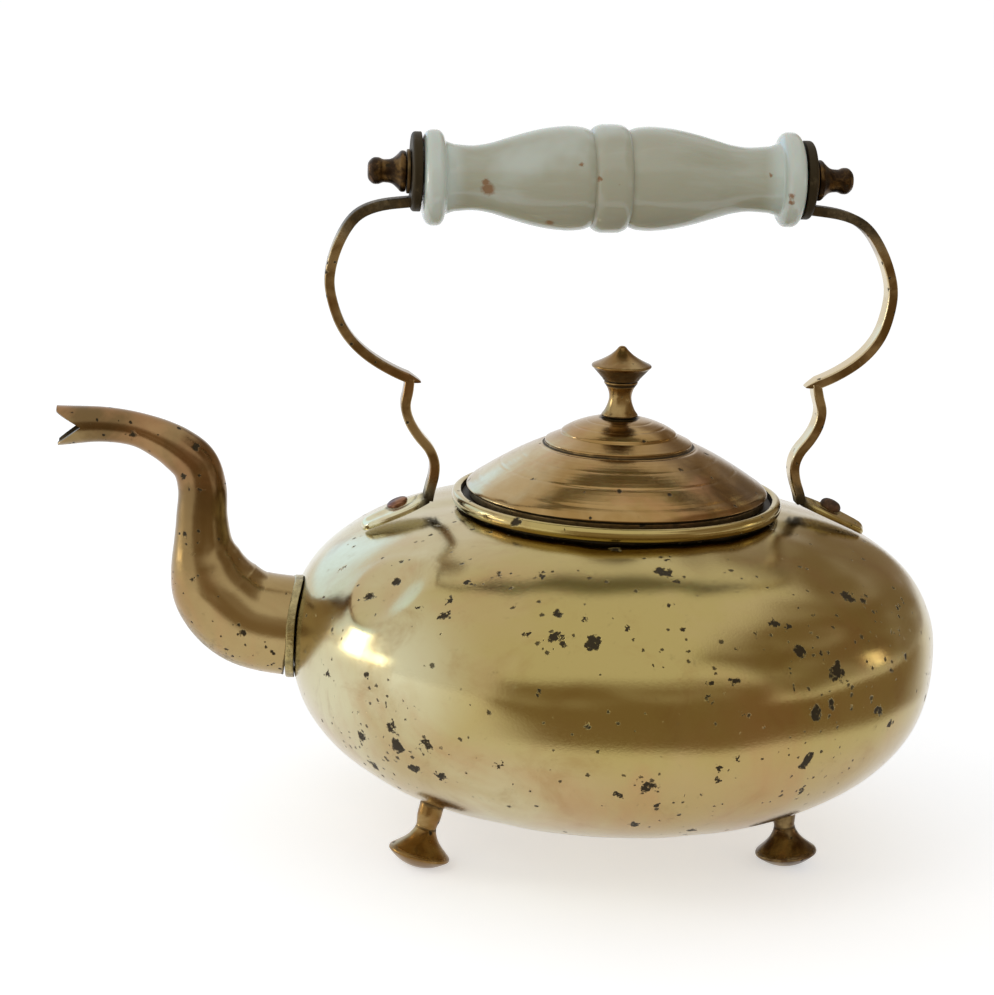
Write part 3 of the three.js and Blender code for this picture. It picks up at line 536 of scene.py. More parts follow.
def pits_group():
    """Scattered pits: a share of the cells of a Voronoi pattern, each with a round pit whose size
    follows the cell's own colour."""
    name = "Corrosion pits"
    if name in bpy.data.node_groups:
        return bpy.data.node_groups[name]
    group, given, end = new_group(name, {"Vector": None, "Scale": 150.0, "Share": 0.2, "Size": 0.3},
                                  ("Mask",))
    cells = node(group, "ShaderNodeTexVoronoi", {"Vector": given["Vector"], "Scale": given["Scale"]})
    tone = node(group, "ShaderNodeSeparateColor", {"Color": cells.outputs["Color"]})
    kept = maths(group, "LESS_THAN", tone.outputs["Red"], given["Share"])
    spread = maths(group, "MULTIPLY_ADD", tone.outputs["Green"], 0.8, 0.2)
    outer = maths(group, "MULTIPLY", spread, given["Size"])
    inner = maths(group, "MULTIPLY", outer, 0.6)
    inside = smooth_step(group, cells.outputs["Distance"], outer, inner)
    fed(group, end, {"Mask": maths(group, "MULTIPLY", inside, kept)})
    return group


def metal_group():
    """Aged brass: two tones mixed by cloudy noise, with the pale tone also painted as light where the grime
    and shading value is below zero, pink blushes, fine grain and specks, and tarnish wherever grime,
    painted shade or pits are. Puts out the colour, roughness, metalness and height."""
    name = "Aged brass"
    if name in bpy.data.node_groups:
        return bpy.data.node_groups[name]
    group, given, end = new_group(name, {
        "Vector": None, "Metal": (0.4, 0.3, 0.1, 1), "Pale": (0.6, 0.5, 0.3, 1),
        "Blush": (0.5, 0.3, 0.2, 1), "Tarnish": (0.04, 0.03, 0.02, 1), "Cloud Scale": 40.0,
        "Pale Share": 0.5, "Blush Share": 0.3, "Roughness": 0.2, "Pits": 0.0, "Grime_and_shading": 0.0},
        ("Color", "Roughness", "Metallic", "Height"))
    place = given["Vector"]
    cloud = noise(group, place, given["Cloud Scale"], 4.0, 0.6, 0.4)
    pale = maths(group, "MULTIPLY", smooth_step(group, cloud, 0.42, 0.66), given["Pale Share"])
    broad = maths(group, "MULTIPLY", given["Cloud Scale"], 0.61)
    pink = noise(group, vectors(group, "ADD", place, (0.31, 0.17, 0.53)), broad, 5.0, 0.62, 0.6)
    blush = maths(group, "MULTIPLY", smooth_step(group, pink, 0.52, 0.7), given["Blush Share"])
    # Painted light: where the grime and shading value is below zero, the brass turns to its pale tone
    painted_light = smooth_step(group, given["Grime_and_shading"], -0.15, -0.9)
    colour = mixed(group, maths(group, "MAXIMUM", pale, painted_light), given["Metal"], given["Pale"])
    colour = mixed(group, blush, colour, given["Blush"])
    grain = noise(group, place, 1400.0, 4.0, 0.7)
    film = noise(group, place, 320.0, 5.0, 0.7)
    speck = smooth_step(group, film, 0.6, 0.78, 0.0, 0.45)
    colour = mixed(group, speck, colour, mixed(group, 0.5, given["Tarnish"], colour))
    centred = maths(group, "SUBTRACT", film, 0.5)
    dirt = smooth_step(group, maths(group, "MULTIPLY_ADD", centred, 0.9, given["Grime_and_shading"]), 0.12, 0.95)
    worn = maths(group, "MAXIMUM", dirt, given["Pits"], clamp=True)
    plain = maths(group, "SUBTRACT", given["Roughness"], 0.06)
    rough = maths(group, "MULTIPLY_ADD", speck, 0.25, maths(group, "MULTIPLY_ADD", grain, 0.12, plain))
    fed(group, end, {
        "Color": mixed(group, worn, colour, given["Tarnish"]),
        "Roughness": maths(group, "MULTIPLY_ADD", worn, 0.34, rough),
        "Metallic": maths(group, "SUBTRACT", 1.0, maths(group, "MULTIPLY", worn, 0.55)),
        "Height": maths(group, "MULTIPLY_ADD", grain, 0.06, maths(group, "SUBTRACT", 0.0, worn))})
    return group


def started(name):
    """A new material with an empty shader tree, and its places measured from the body's axis."""
    material = bpy.data.materials.new(name)
    material.use_nodes = True
    tree = material.node_tree
    tree.nodes.clear()
    coordinates = node(tree, "ShaderNodeTexCoord").outputs["Object"]
    place = node(tree, "ShaderNodeMapping", {"Vector": coordinates, "Location": (-AXIS).tolist()})
    return material, tree, place.outputs["Vector"]


def grime_and_shading_value(tree):
    """How much grime and painted shading a piece has at each place, as its mesh says."""
    return node(tree, "ShaderNodeAttribute", attribute_name="grime_and_shading").outputs["Fac"]


def pitted(tree, place, scale, share_in, size, rag, rag_reach):
    """A mask of scattered pits: how fine their pattern is, how many cells have one, how large they
    are, and how finely and far their edges are ragged."""
    return placed(tree, pits_group(), {"Vector": ragged(tree, place, rag, rag_reach), "Scale": scale,
                                       "Share": share_in, "Size": size})["Mask"]


def aged(tree, place, metal, pale, pits, cloud_scale, pale_share, blush_share, roughness):
    """The aged brass of one finish: its two tones, its pits, and how cloudy, pink and rough it is."""
    colours = bpy.context.scene.kettle_colours
    return placed(tree, metal_group(), {
        "Vector": place, "Metal": metal, "Pale": opaque(pale), "Blush": opaque(colours.blush),
        "Tarnish": opaque(colours.tarnish), "Cloud Scale": cloud_scale, "Pale Share": pale_share,
        "Blush Share": blush_share, "Roughness": roughness, "Pits": pits, "Grime_and_shading": grime_and_shading_value(tree)})


def finished(tree, surface, bump_distance, height=None):
    """The shader of a metal piece: what the group puts out, with a bump, on a Principled BSDF."""
    bump = node(tree, "ShaderNodeBump", {"Height": height or surface["Height"],
                                         "Distance": bump_distance, "Strength": 1.0})
    shader = node(tree, "ShaderNodeBsdfPrincipled", {
        "Base Color": surface["Color"], "Roughness": surface["Roughness"],
        "Metallic": surface["Metallic"], "Specular IOR Level": 0.15, "Normal": bump.outputs["Normal"]})
    node(tree, "ShaderNodeOutputMaterial", {"Surface": shader.outputs["BSDF"]})


# Flaws on the body, as (bearing in degrees, height in mm, radius in mm) of each pit
BODY_PITS = (
    (-131.1, 87.1, 1.6), (-130.7, 84.0, 1.8), (-136.3, 84.0, 0.9), (-130.1, 91.0, 1.1),
    (-123.0, 93.8, 0.9), (-115.5, 94.0, 1.9), (-103.7, 87.2, 1.2), (-113.3, 83.4, 1.1),
    (-108.4, 83.2, 2.2), (-101.5, 82.6, 2.8), (-95.4, 85.9, 1.1), (-109.7, 70.2, 0.9),
    (-135.8, 47.5, 3.0), (-136.6, 52.8, 2.2), (-133.2, 41.4, 2.4), (-129.2, 50.2, 2.0),
    (-127.4, 41.3, 2.2), (-145.0, 46.4, 2.6), (-144.8, 36.8, 2.4), (-153.7, 60.2, 1.5),
    (-142.7, 65.3, 1.3), (-115.9, 48.5, 1.4), (-96.5, 42.9, 1.4), (-86.2, 95.5, 2.8),
    (-84.2, 94.1, 1.3), (-83.4, 97.2, 1.2), (-87.4, 90.1, 1.0), (-67.3, 85.6, 1.9),
    (-64.6, 84.4, 1.4), (-44.9, 87.6, 2.6), (-64.4, 78.9, 2.7), (-60.4, 78.4, 1.3),
    (-57.7, 73.0, 3.0), (-77.9, 73.9, 1.6), (-81.9, 73.5, 1.5), (-82.3, 69.8, 1.2),
    (-76.4, 65.4, 0.9), (-62.9, 63.2, 3.2), (-47.6, 59.0, 2.2), (-43.4, 53.6, 1.8),
    (-63.7, 50.0, 2.6), (-62.0, 39.3, 1.6), (-80.2, 50.9, 1.6), (-80.3, 47.6, 1.3),
    (-77.2, 53.4, 1.0), (-91.4, 45.7, 2.4), (-89.6, 39.0, 1.2), (-92.9, 31.7, 2.0),
    (-80.7, 27.7, 1.6), (-76.4, 81.5, 0.9), (-71.8, 83.8, 0.9), (-48.1, 89.1, 0.8),
)
# Where pits crowd together on the body, and where a whitish sheen of light is painted on it: bearing,
# height and radius
BODY_CROWDS = (
    (-142, 45, 26), (-135, 52, 18), (-108, 83, 14), (-58, 72, 26), (-62, 45, 22),
    (-90, 43, 14), (-40, 80, 22), (100, 50, 34), (40, 60, 24), (150, 45, 26),
)
BODY_SHEEN = ((-137, 66, 34), (-165, 92, 50), (-152, 52, 44), (-120, 26, 46), (170, 80, 44), (-84, 18, 26))
# Where pits crowd together on the spout: out from its start, up from its root, and radius, in mm
SPOUT_CROWDS = ((14, -12, 20), (30, -2, 16), (38, 24, 13), (58, 55, 14), (36, 42, 9))
# Painted shade on the right of the lid and a painted highlight on its left, as places from the body's axis
# and radii, in metres
LID_PAINTED_SHADE = (((0.032, -0.022, 0.108), 0.034), ((0.036, 0.010, 0.108), 0.024))
LID_PAINTED_HIGHLIGHT = (((-0.032, -0.006, 0.108), 0.026),)
# Patches of another colour on the small pieces: the place, the radius and the colour's name. The dark brown
# ones are painted shade on the right foot and on one side of the knob's cap; the whitish one is a painted
# highlight on the spout side's pad
CAST_PATCHES = (((0.050, -0.031, 0.006), 0.024, "painted_shade"), ((0.012, -0.004, 0.144), 0.009, "painted_shade"))
STRAP_PATCHES = (((-0.066, 0, 0.098), 0.016, "painted_sheen"), ((0.066, 0, 0.096), 0.014, "body"))
# Stains and chips on the glass: along the grip, forward, up from the rod, and radius, in mm
GLASS_MARKS = (
    (-36.2, -9.3, -3.6, 2.4), (-36.9, -9.6, -1.6, 1.2), (-18.4, -7.8, -12.2, 1.6),
    (-21.5, -7.4, -11.4, 0.9), (49.3, -12.4, -3.4, 1.3), (49.3, -12.0, -5.2, 1.2),
    (44.0, -9.5, 2.2, 0.9), (-5.6, -14.0, 0.4, 1.0), (-10.8, -13.5, 4.2, 0.9),
)


def body_places(rows, size=1.0):
    """Rows of bearing, height and radius turned into places on the body and radii in metres."""
    body = bpy.context.scene.kettle_body
    table = np.array(rows, float)
    bearing, height, radius = np.radians(table[:, 0]), table[:, 1] * MM, table[:, 2] * MM * size
    out = body_radius(body, height)
    middle = np.stack([out * np.cos(bearing), out * np.sin(bearing), height], axis=-1)
    return list(zip(middle.tolist(), radius.tolist()))


def body_brass():
    """Polished olive-gold sheet: painted paler towards the bottom as a reflection of the floor, with a
    painted whitish sheen on the left, pitted in crowds, faintly stained.
    """
    name = "body_finish"
    if name in bpy.data.materials:
        return bpy.data.materials[name]
    colours = bpy.context.scene.kettle_colours
    material, tree, place = started(name)
    crowd = spots(tree, place, body_places(BODY_CROWDS), 0.9)
    large = pitted(tree, place, 150.0, maths(tree, "MULTIPLY_ADD", crowd, 0.42, 0.06), 0.30,
                   rag=260.0, rag_reach=0.0065)
    small = pitted(tree, place, 430.0, maths(tree, "MULTIPLY_ADD", crowd, 0.5, 0.16), 0.34,
                   rag=900.0, rag_reach=0.0016)
    known = spots(tree, ragged(tree, place, 420.0, 0.0068), body_places(BODY_PITS, 0.82), 0.2)
    crumbled = smooth_step(tree, noise(tree, place, 700.0, 3.0, 0.7), 0.30, 0.42)
    pits = maths(tree, "MAXIMUM", maths(tree, "MULTIPLY", known, crumbled), large)
    pits = maths(tree, "MAXIMUM", pits, maths(tree, "MULTIPLY", small, 0.85))
    height = node(tree, "ShaderNodeSeparateXYZ", {"Vector": place}).outputs["Z"]
    # Painted reflection of the floor: the body turns paler towards the bottom
    low = smooth_step(tree, height, 0.056, 0.044)
    metal = tinted(tree, opaque(colours.body), low, 0.8, colours.body_pale)
    # Painted whitish sheen of light, mostly on the left side
    metal = tinted(tree, metal, spots(tree, place, body_places(BODY_SHEEN), 0.95), 0.8, colours.painted_sheen)
    stain = smooth_step(tree, noise(tree, place, 55.0, 6.0, 0.66, 0.5), 0.5, 0.74, 0.0, 0.5)
    metal = mixed(tree, stain, metal, opaque(colours.lid))
    finished(tree, aged(tree, place, metal, colours.body_pale, pits, cloud_scale=30.0, pale_share=0.5,
                        blush_share=0.4, roughness=0.15), bump_distance=0.00035)
    return material


def spout_brass():
    """Browner brass of the spout, with painted shade along its upper arm and painted light low down, and
    dark pits that crowd along its underside and root."""
    name = "spout_finish"
    if name in bpy.data.materials:
        return bpy.data.materials[name]
    scene = bpy.context.scene
    colours, spout = scene.kettle_colours, scene.kettle_spout
    material, tree, place = started(name)
    crowds = [((-spout.start - out * MM, -0.008, spout.root_height + up * MM), radius * MM)
              for out, up, radius in SPOUT_CROWDS]
    many = maths(tree, "MULTIPLY_ADD", spots(tree, place, crowds, 0.9), 0.5, 0.09)
    large = pitted(tree, place, 230.0, many, 0.3, rag=300.0, rag_reach=0.0045)
    small = pitted(tree, place, 520.0, many, 0.36, rag=900.0, rag_reach=0.0015)
    height = node(tree, "ShaderNodeSeparateXYZ", {"Vector": place}).outputs["Z"]
    # Painted shade along the upper arm, and painted light low on the spout
    upper = smooth_step(tree, height, 0.078, 0.112, 0.0, 0.6)
    metal = mixed(tree, upper, opaque(colours.spout), opaque(colours.painted_shade))
    lower = smooth_step(tree, height, 0.084, 0.056, 0.0, 0.7)
    metal = mixed(tree, lower, metal, opaque(colours.body_pale))
    finished(tree, aged(tree, place, metal, colours.body_pale, maths(tree, "MAXIMUM", large, small),
                        cloud_scale=45.0, pale_share=0.35, blush_share=0.45, roughness=0.2),
             bump_distance=0.0003)
    return material


def spun_lines(tree, place, fineness):
    """Fine rings left by the lathe: noise that changes only with the distance from the axis."""
    away = vectors(tree, "LENGTH", vectors(tree, "MULTIPLY", place, (1.0, 1.0, 0.0)), (0.0, 0.0, 0.0))
    along = node(tree, "ShaderNodeCombineXYZ", {"X": away}).outputs["Vector"]
    return noise(tree, along, fineness, 3.0, 0.6)


def lid_brass():
    """Coppery spun brass: fine rings round the axis, small round pits, painted shade on its right and a
    painted highlight on its left.
    """
    name = "lid_finish"
    if name in bpy.data.materials:
        return bpy.data.materials[name]
    colours = bpy.context.scene.kettle_colours
    material, tree, place = started(name)
    rings = spun_lines(tree, place, 900.0)
    pits = pitted(tree, place, 210.0, 0.26, 0.26, rag=700.0, rag_reach=0.0012)
    bands = smooth_step(tree, rings, 0.5, 0.72, 0.0, 0.3)
    metal = mixed(tree, bands, opaque(colours.lid), opaque(colours.lid_pale))
    cloudy_place = ragged(tree, place, 60.0, 0.022)
    # Painted shade on the lid's right side and a painted highlight on its left
    metal = tinted(tree, metal, spots(tree, cloudy_place, LID_PAINTED_SHADE, 0.8), 0.6, colours.painted_shade)
    metal = tinted(tree, metal, spots(tree, cloudy_place, LID_PAINTED_HIGHLIGHT, 0.8), 0.7, colours.painted_sheen)
    surface = aged(tree, place, metal, colours.lid_pale, pits, cloud_scale=52.0, pale_share=0.6,
                   blush_share=0.5, roughness=0.18)
    ringed = maths(tree, "MULTIPLY_ADD", rings, 0.22, surface["Height"])
    finished(tree, surface, bump_distance=0.00016, height=ringed)
    return material


def plain_brass(name, metal, pale, patches=(), *, roughness, cloud_scale, pale_share, pit_share,
                bump_distance=0.0002):
    """Brass of the smaller pieces, which differ in colour, gloss and how pitted they are."""
    if name in bpy.data.materials:
        return bpy.data.materials[name]
    colours = bpy.context.scene.kettle_colours
    material, tree, place = started(name)
    pits = pitted(tree, place, 420.0, pit_share, 0.34, rag=800.0, rag_reach=0.0014)
    metal = opaque(metal)
    # Patches of other colours, among them painted shade and a painted highlight
    for middle, radius, tone in patches:
        near = spots(tree, place, [(middle, radius)], 0.4)
        metal = mixed(tree, near, metal, opaque(getattr(colours, tone)))
    finished(tree, aged(tree, place, metal, pale, pits, cloud_scale, pale_share, 0.35, roughness),
             bump_distance)
    return material


def cast_brass():
    """Golden cast brass, turned and polished, with painted shade on the right foot and on one side of the
    knob's cap.
    """
    colours = bpy.context.scene.kettle_colours
    return plain_brass("cast_finish", colours.cast, colours.body_pale, CAST_PATCHES, roughness=0.24,
                       cloud_scale=120.0, pale_share=0.5, pit_share=0.16, bump_distance=0.00018)


def strap_brass():
    """Brown forged brass, paler in places, with painted light on the straps' inner faces and a painted
    whitish highlight on the pad beside the spout.
    """
    colours = bpy.context.scene.kettle_colours
    return plain_brass("strap_finish", colours.strap, colours.strap_pale, STRAP_PATCHES, roughness=0.2,
                       cloud_scale=70.0, pale_share=0.6, pit_share=0.2)


def dark_brass():
    """Brass that has gone nearly black, with glints where it is rubbed."""
    colours = bpy.context.scene.kettle_colours
    return plain_brass("dark_finish", colours.dark, colours.cast, roughness=0.42, cloud_scale=240.0,
                       pale_share=0.55, pit_share=0.3)


def rivet_copper():
    """Mauve-brown copper of the rivets."""
    colours = bpy.context.scene.kettle_colours
    return plain_brass("rivet_finish", colours.copper, colours.blush, roughness=0.36, cloud_scale=260.0,
                       pale_share=0.5, pit_share=0.25)


def opal_glass():
    """Pale opaline glass: milky streaks along the grip, a painted cool sheen where it is seen edge-on, a
    brown stain, specks of dirt and gloss.
    """
    name = "glass_finish"
    if name in bpy.data.materials:
        return bpy.data.materials[name]
    scene = bpy.context.scene
    colours, grip, handle = scene.kettle_colours, scene.kettle_grip, scene.kettle_handle
    material, tree, place = started(name)
    drawn = vectors(tree, "MULTIPLY", place, (0.28, 1.0, 1.0))
    streak = smooth_step(tree, noise(tree, drawn, 85.0, 4.0, 0.6, 0.5), 0.5, 0.75, 0.0, 0.16)
    cloud = smooth_step(tree, noise(tree, place, 38.0, 3.0, 0.5), 0.5, 0.72, 0.0, 0.4)
    along = node(tree, "ShaderNodeSeparateXYZ", {"Vector": place}).outputs["X"]
    out = maths(tree, "ABSOLUTE", maths(tree, "ADD", along, handle.rack))
    end, flange = grip.half_length, grip.flange_width
    thin = smooth_step(tree, out, end - 2 * flange, end - flange)
    # Painted sheen: the cool milky white of the thin flanges and streaks is also laid where the glass is
    # seen edge-on
    grazing = node(tree, "ShaderNodeLayerWeight", {"Blend": 0.35}).outputs["Facing"]
    milky_and_sheen = maths(tree, "MAXIMUM", maths(tree, "MULTIPLY", thin, 0.6), smooth_step(tree, grazing, 0.25, 0.9))
    milky_and_sheen = maths(tree, "MAXIMUM", milky_and_sheen, streak)
    milky = mixed(tree, milky_and_sheen, opaque(colours.glass), opaque(colours.glass_rim))
    milky = mixed(tree, cloud, milky, opaque(colours.glass_rim))
    marks = [((at * MM - handle.rack, front * MM, grip.height + up * MM), radius * MM)
             for at, front, up, radius in GLASS_MARKS]
    stained = spots(tree, ragged(tree, place, 700.0, 0.0022), marks, 0.5)
    specks = pitted(tree, place, 190.0, 0.07, 0.12, rag=900.0, rag_reach=0.0012)
    dirt = maths(tree, "MAXIMUM", maths(tree, "MULTIPLY", stained, 0.9),
                 maths(tree, "MULTIPLY", specks, 0.7))
    dirt = maths(tree, "MAXIMUM", dirt, maths(tree, "MULTIPLY", grime_and_shading_value(tree), 0.6))
    ripple = noise(tree, drawn, 140.0, 2.0, 0.5)
    bump = node(tree, "ShaderNodeBump", {"Height": ripple, "Distance": 0.0003, "Strength": 1.0})
    shader = node(tree, "ShaderNodeBsdfPrincipled", {
        "Base Color": mixed(tree, dirt, milky, opaque(colours.stain)),
        "Roughness": maths(tree, "MULTIPLY_ADD", dirt, 0.35, 0.12), "Metallic": 0.0, "IOR": 1.52,
        "Subsurface Weight": 0.25, "Subsurface Scale": 0.006, "Normal": bump.outputs["Normal"]})
    node(tree, "ShaderNodeOutputMaterial", {"Surface": shader.outputs["BSDF"]})
    return material


# Body, collar and base plate

def shoulder_height(body, radius):
    """Height of the shoulder at a radius: a superellipse quarter from the widest ring to the crown."""
    part = (radius / body.radius) ** body.shoulder_power
    rise = body.crown_height - body.equator_height
    return body.equator_height + rise * (1 - part) ** (1 / body.shoulder_power)


def belly_height(body, radius):
    """Height of the belly at a radius: a superellipse quarter from the widest ring to the underside."""
    run = np.clip(radius - body.flat_radius, 0, None) / (body.radius - body.flat_radius)
    drop = body.equator_height - body.underside_height
    return body.equator_height - drop * (1 - run ** body.belly_power) ** (1 / body.belly_power)


def body_radius(body, height):
    """Radius of the body at a height, from the same two superellipses."""
    up = np.clip((height - body.equator_height) / (body.crown_height - body.equator_height), 0, 1)
    down = np.clip((body.equator_height - height) / (body.equator_height - body.underside_height), 0, 1)
    upper = body.radius * (1 - up ** body.shoulder_power) ** (1 / body.shoulder_power)
    reach = body.radius - body.flat_radius
    lower = body.flat_radius + reach * (1 - down ** body.belly_power) ** (1 / body.belly_power)
    return np.where(height > body.equator_height, upper, lower)


def body_curve(body, low_radius, high_radius):
    """Half outline of the body as (radius, height): up the belly from one radius, then up the
    shoulder to another. Both stretches follow the angle of their superellipse."""
    reach = body.radius - body.flat_radius
    drop = body.equator_height - body.underside_height
    rise = body.crown_height - body.equator_height
    start = math.acos(((low_radius - body.flat_radius) / reach) ** (body.belly_power / 2))
    end = math.acos((high_radius / body.radius) ** (body.shoulder_power / 2))
    below = start * np.linspace(1, 0, 900) ** 1.5
    above = end * np.linspace(0, 1, 900)[1:] ** 1.5
    belly = np.stack([body.flat_radius + reach * np.cos(below) ** (2 / body.belly_power),
                      body.equator_height - drop * np.sin(below) ** (2 / body.belly_power)], axis=-1)
    shoulder = np.stack([body.radius * np.cos(above) ** (2 / body.shoulder_power),
                         body.equator_height + rise * np.sin(above) ** (2 / body.shoulder_power)], axis=-1)
    return np.vstack([belly, shoulder])


def body_relief(body, points):
    """How far the sheet stands off its turned shape: a round dent, deepest in its middle and with a
    low rim, and shallow waves: four sines of the bearing and the height added up, kept below the
    turned shape and weaker where the body is widest."""
    bearing = np.arctan2(points[..., 1], points[..., 0])
    height = points[..., 2]
    out = float(body_radius(body, np.array(body.dent_height)))
    middle = np.array([out * math.cos(body.dent_bearing), out * math.sin(body.dent_bearing),
                       body.dent_height])
    away = np.linalg.norm(points - middle, axis=-1) / body.dent_radius
    bowl = -body.dent_depth * np.clip(1 - away ** 2, 0, None) ** 2
    rim = 0.09 * body.dent_depth * bell(away, 1.05, 0.22)
    phase = height / (17 * MM)
    waves = (np.sin(5 * bearing + 1.4 * phase) + 0.7 * np.sin(9 * bearing - 2.1 * phase + 1.3)
             + 0.5 * np.sin(14 * bearing + 2.9 * phase + 0.4) + 0.35 * np.sin(23 * bearing - 1.7 * phase))
    edge = unit((body.radius * 1.02 - np.hypot(points[..., 0], points[..., 1])) / (4 * MM))
    tallest = 2.4
    return bowl + rim + body.wave * (waves - tallest) * (0.3 + 0.7 * edge)


def skin(body, path, offset):
    """A path turned into the body's surface, moved along its normals by an offset and the relief."""
    surface = spun(path, BODY_COLUMNS)
    facing = spun(outward(path), BODY_COLUMNS)
    return surface + facing * (offset + body_relief(body, surface))[..., None]


def sheet_darkening(rows, edge, inner_rows, inner):
    """How dark a sheet's rows are made: none outside but for its last rows, and evenly inside."""
    return np.concatenate([np.zeros(rows - len(edge)), edge, np.full(inner_rows, inner)])[:, None]


class KETTLE_OT_body(bpy.types.Operator):
    """Build the raised body shell and the dished base plate"""
    bl_idname = "kettle.body"
    bl_label = "Body and base plate"

    def execute(self, context):
        body = context.scene.kettle_body
        rows, inner_rows = 150, 40
        outside = even_path(body_curve(body, body.seam_radius, body.neck_radius + FIT_GAP), rows)
        inside = even_path(outside, inner_rows)
        wall = np.vstack([skin(body, outside, 0), skin(body, inside, -body.wall)[::-1]])
        grime_and_shading = sheet_darkening(rows, [0, 0.1, 0.4], inner_rows, 0.25)
        piece("body", [shell(wall, grime_and_shading, True)], body_brass(), "kettle", ["body_shell"])
        rows, step = 60, 3
        rim = body.seam_radius - SEAM_GAP
        belly = body_curve(body, body.flat_radius, body.radius * 0.999)
        path = np.vstack([[[0, body.underside_height]], belly[belly[:, 0] < rim]])
        path = even_path(path, rows)
        path[-1] = (rim, belly_height(body, rim))
        dish = np.vstack([skin(body, path, 0), skin(body, path[::step], -body.wall)[::-1]])
        grime_and_shading = sheet_darkening(rows, [0.2, 0.4, 0.7], rows // step, 0.4)
        piece("base", [shell(dish, grime_and_shading)], body_brass(), "kettle", ["base_plate"])
        return {"FINISHED"}


class KETTLE_OT_collar(bpy.types.Operator):
    """Build the rolled collar round the mouth, with the ledge for the lid"""
    bl_idname = "kettle.collar"
    bl_label = "Collar"

    def execute(self, context):
        body = context.scene.kettle_body
        outer, inner = body.collar_radius, body.neck_radius
        foot = shoulder_height(body, inner + FIT_GAP) + FIT_GAP
        rise = body.collar_height - foot
        ledge = body.collar_height - body.ledge_drop
        neck = inner - body.wall
        bottom = ledge - body.neck_depth
        bead = [(inner + out * (outer - inner), foot + up * rise, 2 * MM) for out, up in
                ((0.4, 0.0), (0.86, 0.1), (1.04, 0.5), (0.88, 0.88), (0.45, 1.02))]
        path = eased([
            (neck, bottom, 0.3 * MM), (inner, bottom, 0.3 * MM), (inner, foot, 0.1 * MM), *bead,
            (inner, body.collar_height - FIT_GAP, 0.6 * MM), (inner - 0.2 * MM, ledge, 0.25 * MM),
            (body.ledge_radius, ledge, 0.3 * MM),
            (body.ledge_radius, ledge - body.ledge_thickness, 0.3 * MM),
            (neck, ledge - body.ledge_thickness, 0.2 * MM),
        ], closed=True)
        path = filled_path(path, 0.35 * MM)
        # Painted shade: a dark line where the bead meets the body, and darker inside the neck
        low = unit((foot + 0.22 * MM - path[:, 1]) / (0.2 * MM))
        shaded = unit((inner + 0.3 * MM - path[:, 0]) / (0.3 * MM))
        grime_and_shading = np.maximum(low, shaded)[:, None]
        points = spun(path, TURNED_COLUMNS)
        piece("collar", [shell(points, grime_and_shading, True)], body_brass(), "kettle", ["collar_ring"])
        return {"FINISHED"}


# Lid and knob

# Rings turned in the lid: radius, depth and width in mm, and how dirty each is
LID_RINGS = (
    (40.6, 0.05, 0.6, 0), (34.2, 0.08, 0.4, 0.2), (28.4, 0.04, 0.5, 0.2), (22.6, 0.12, 0.45, 0),
    (13.2, 0.06, 0.35, 0.2), (9.4, 0.05, 0.35, 0.2),
)


def lid_slope(lid, radius):
    """Height of the lid's slope: it falls with a power of the share of the way out to the rim."""
    part = (radius - lid.step_radius) / (lid.radius - lid.step_radius)
    return lid.step_height - (lid.step_height - lid.rim_height) * np.clip(part, 0, None) ** lid.slope_power


def lid_rings(path):
    """The lid's path with a shallow rounded groove turned in it at each ring."""
    relief = sum(-depth * MM * bell(path[:, 0], at * MM, width * MM) for at, depth, width, _ in LID_RINGS)
    return path + outward(path) * relief[:, None]


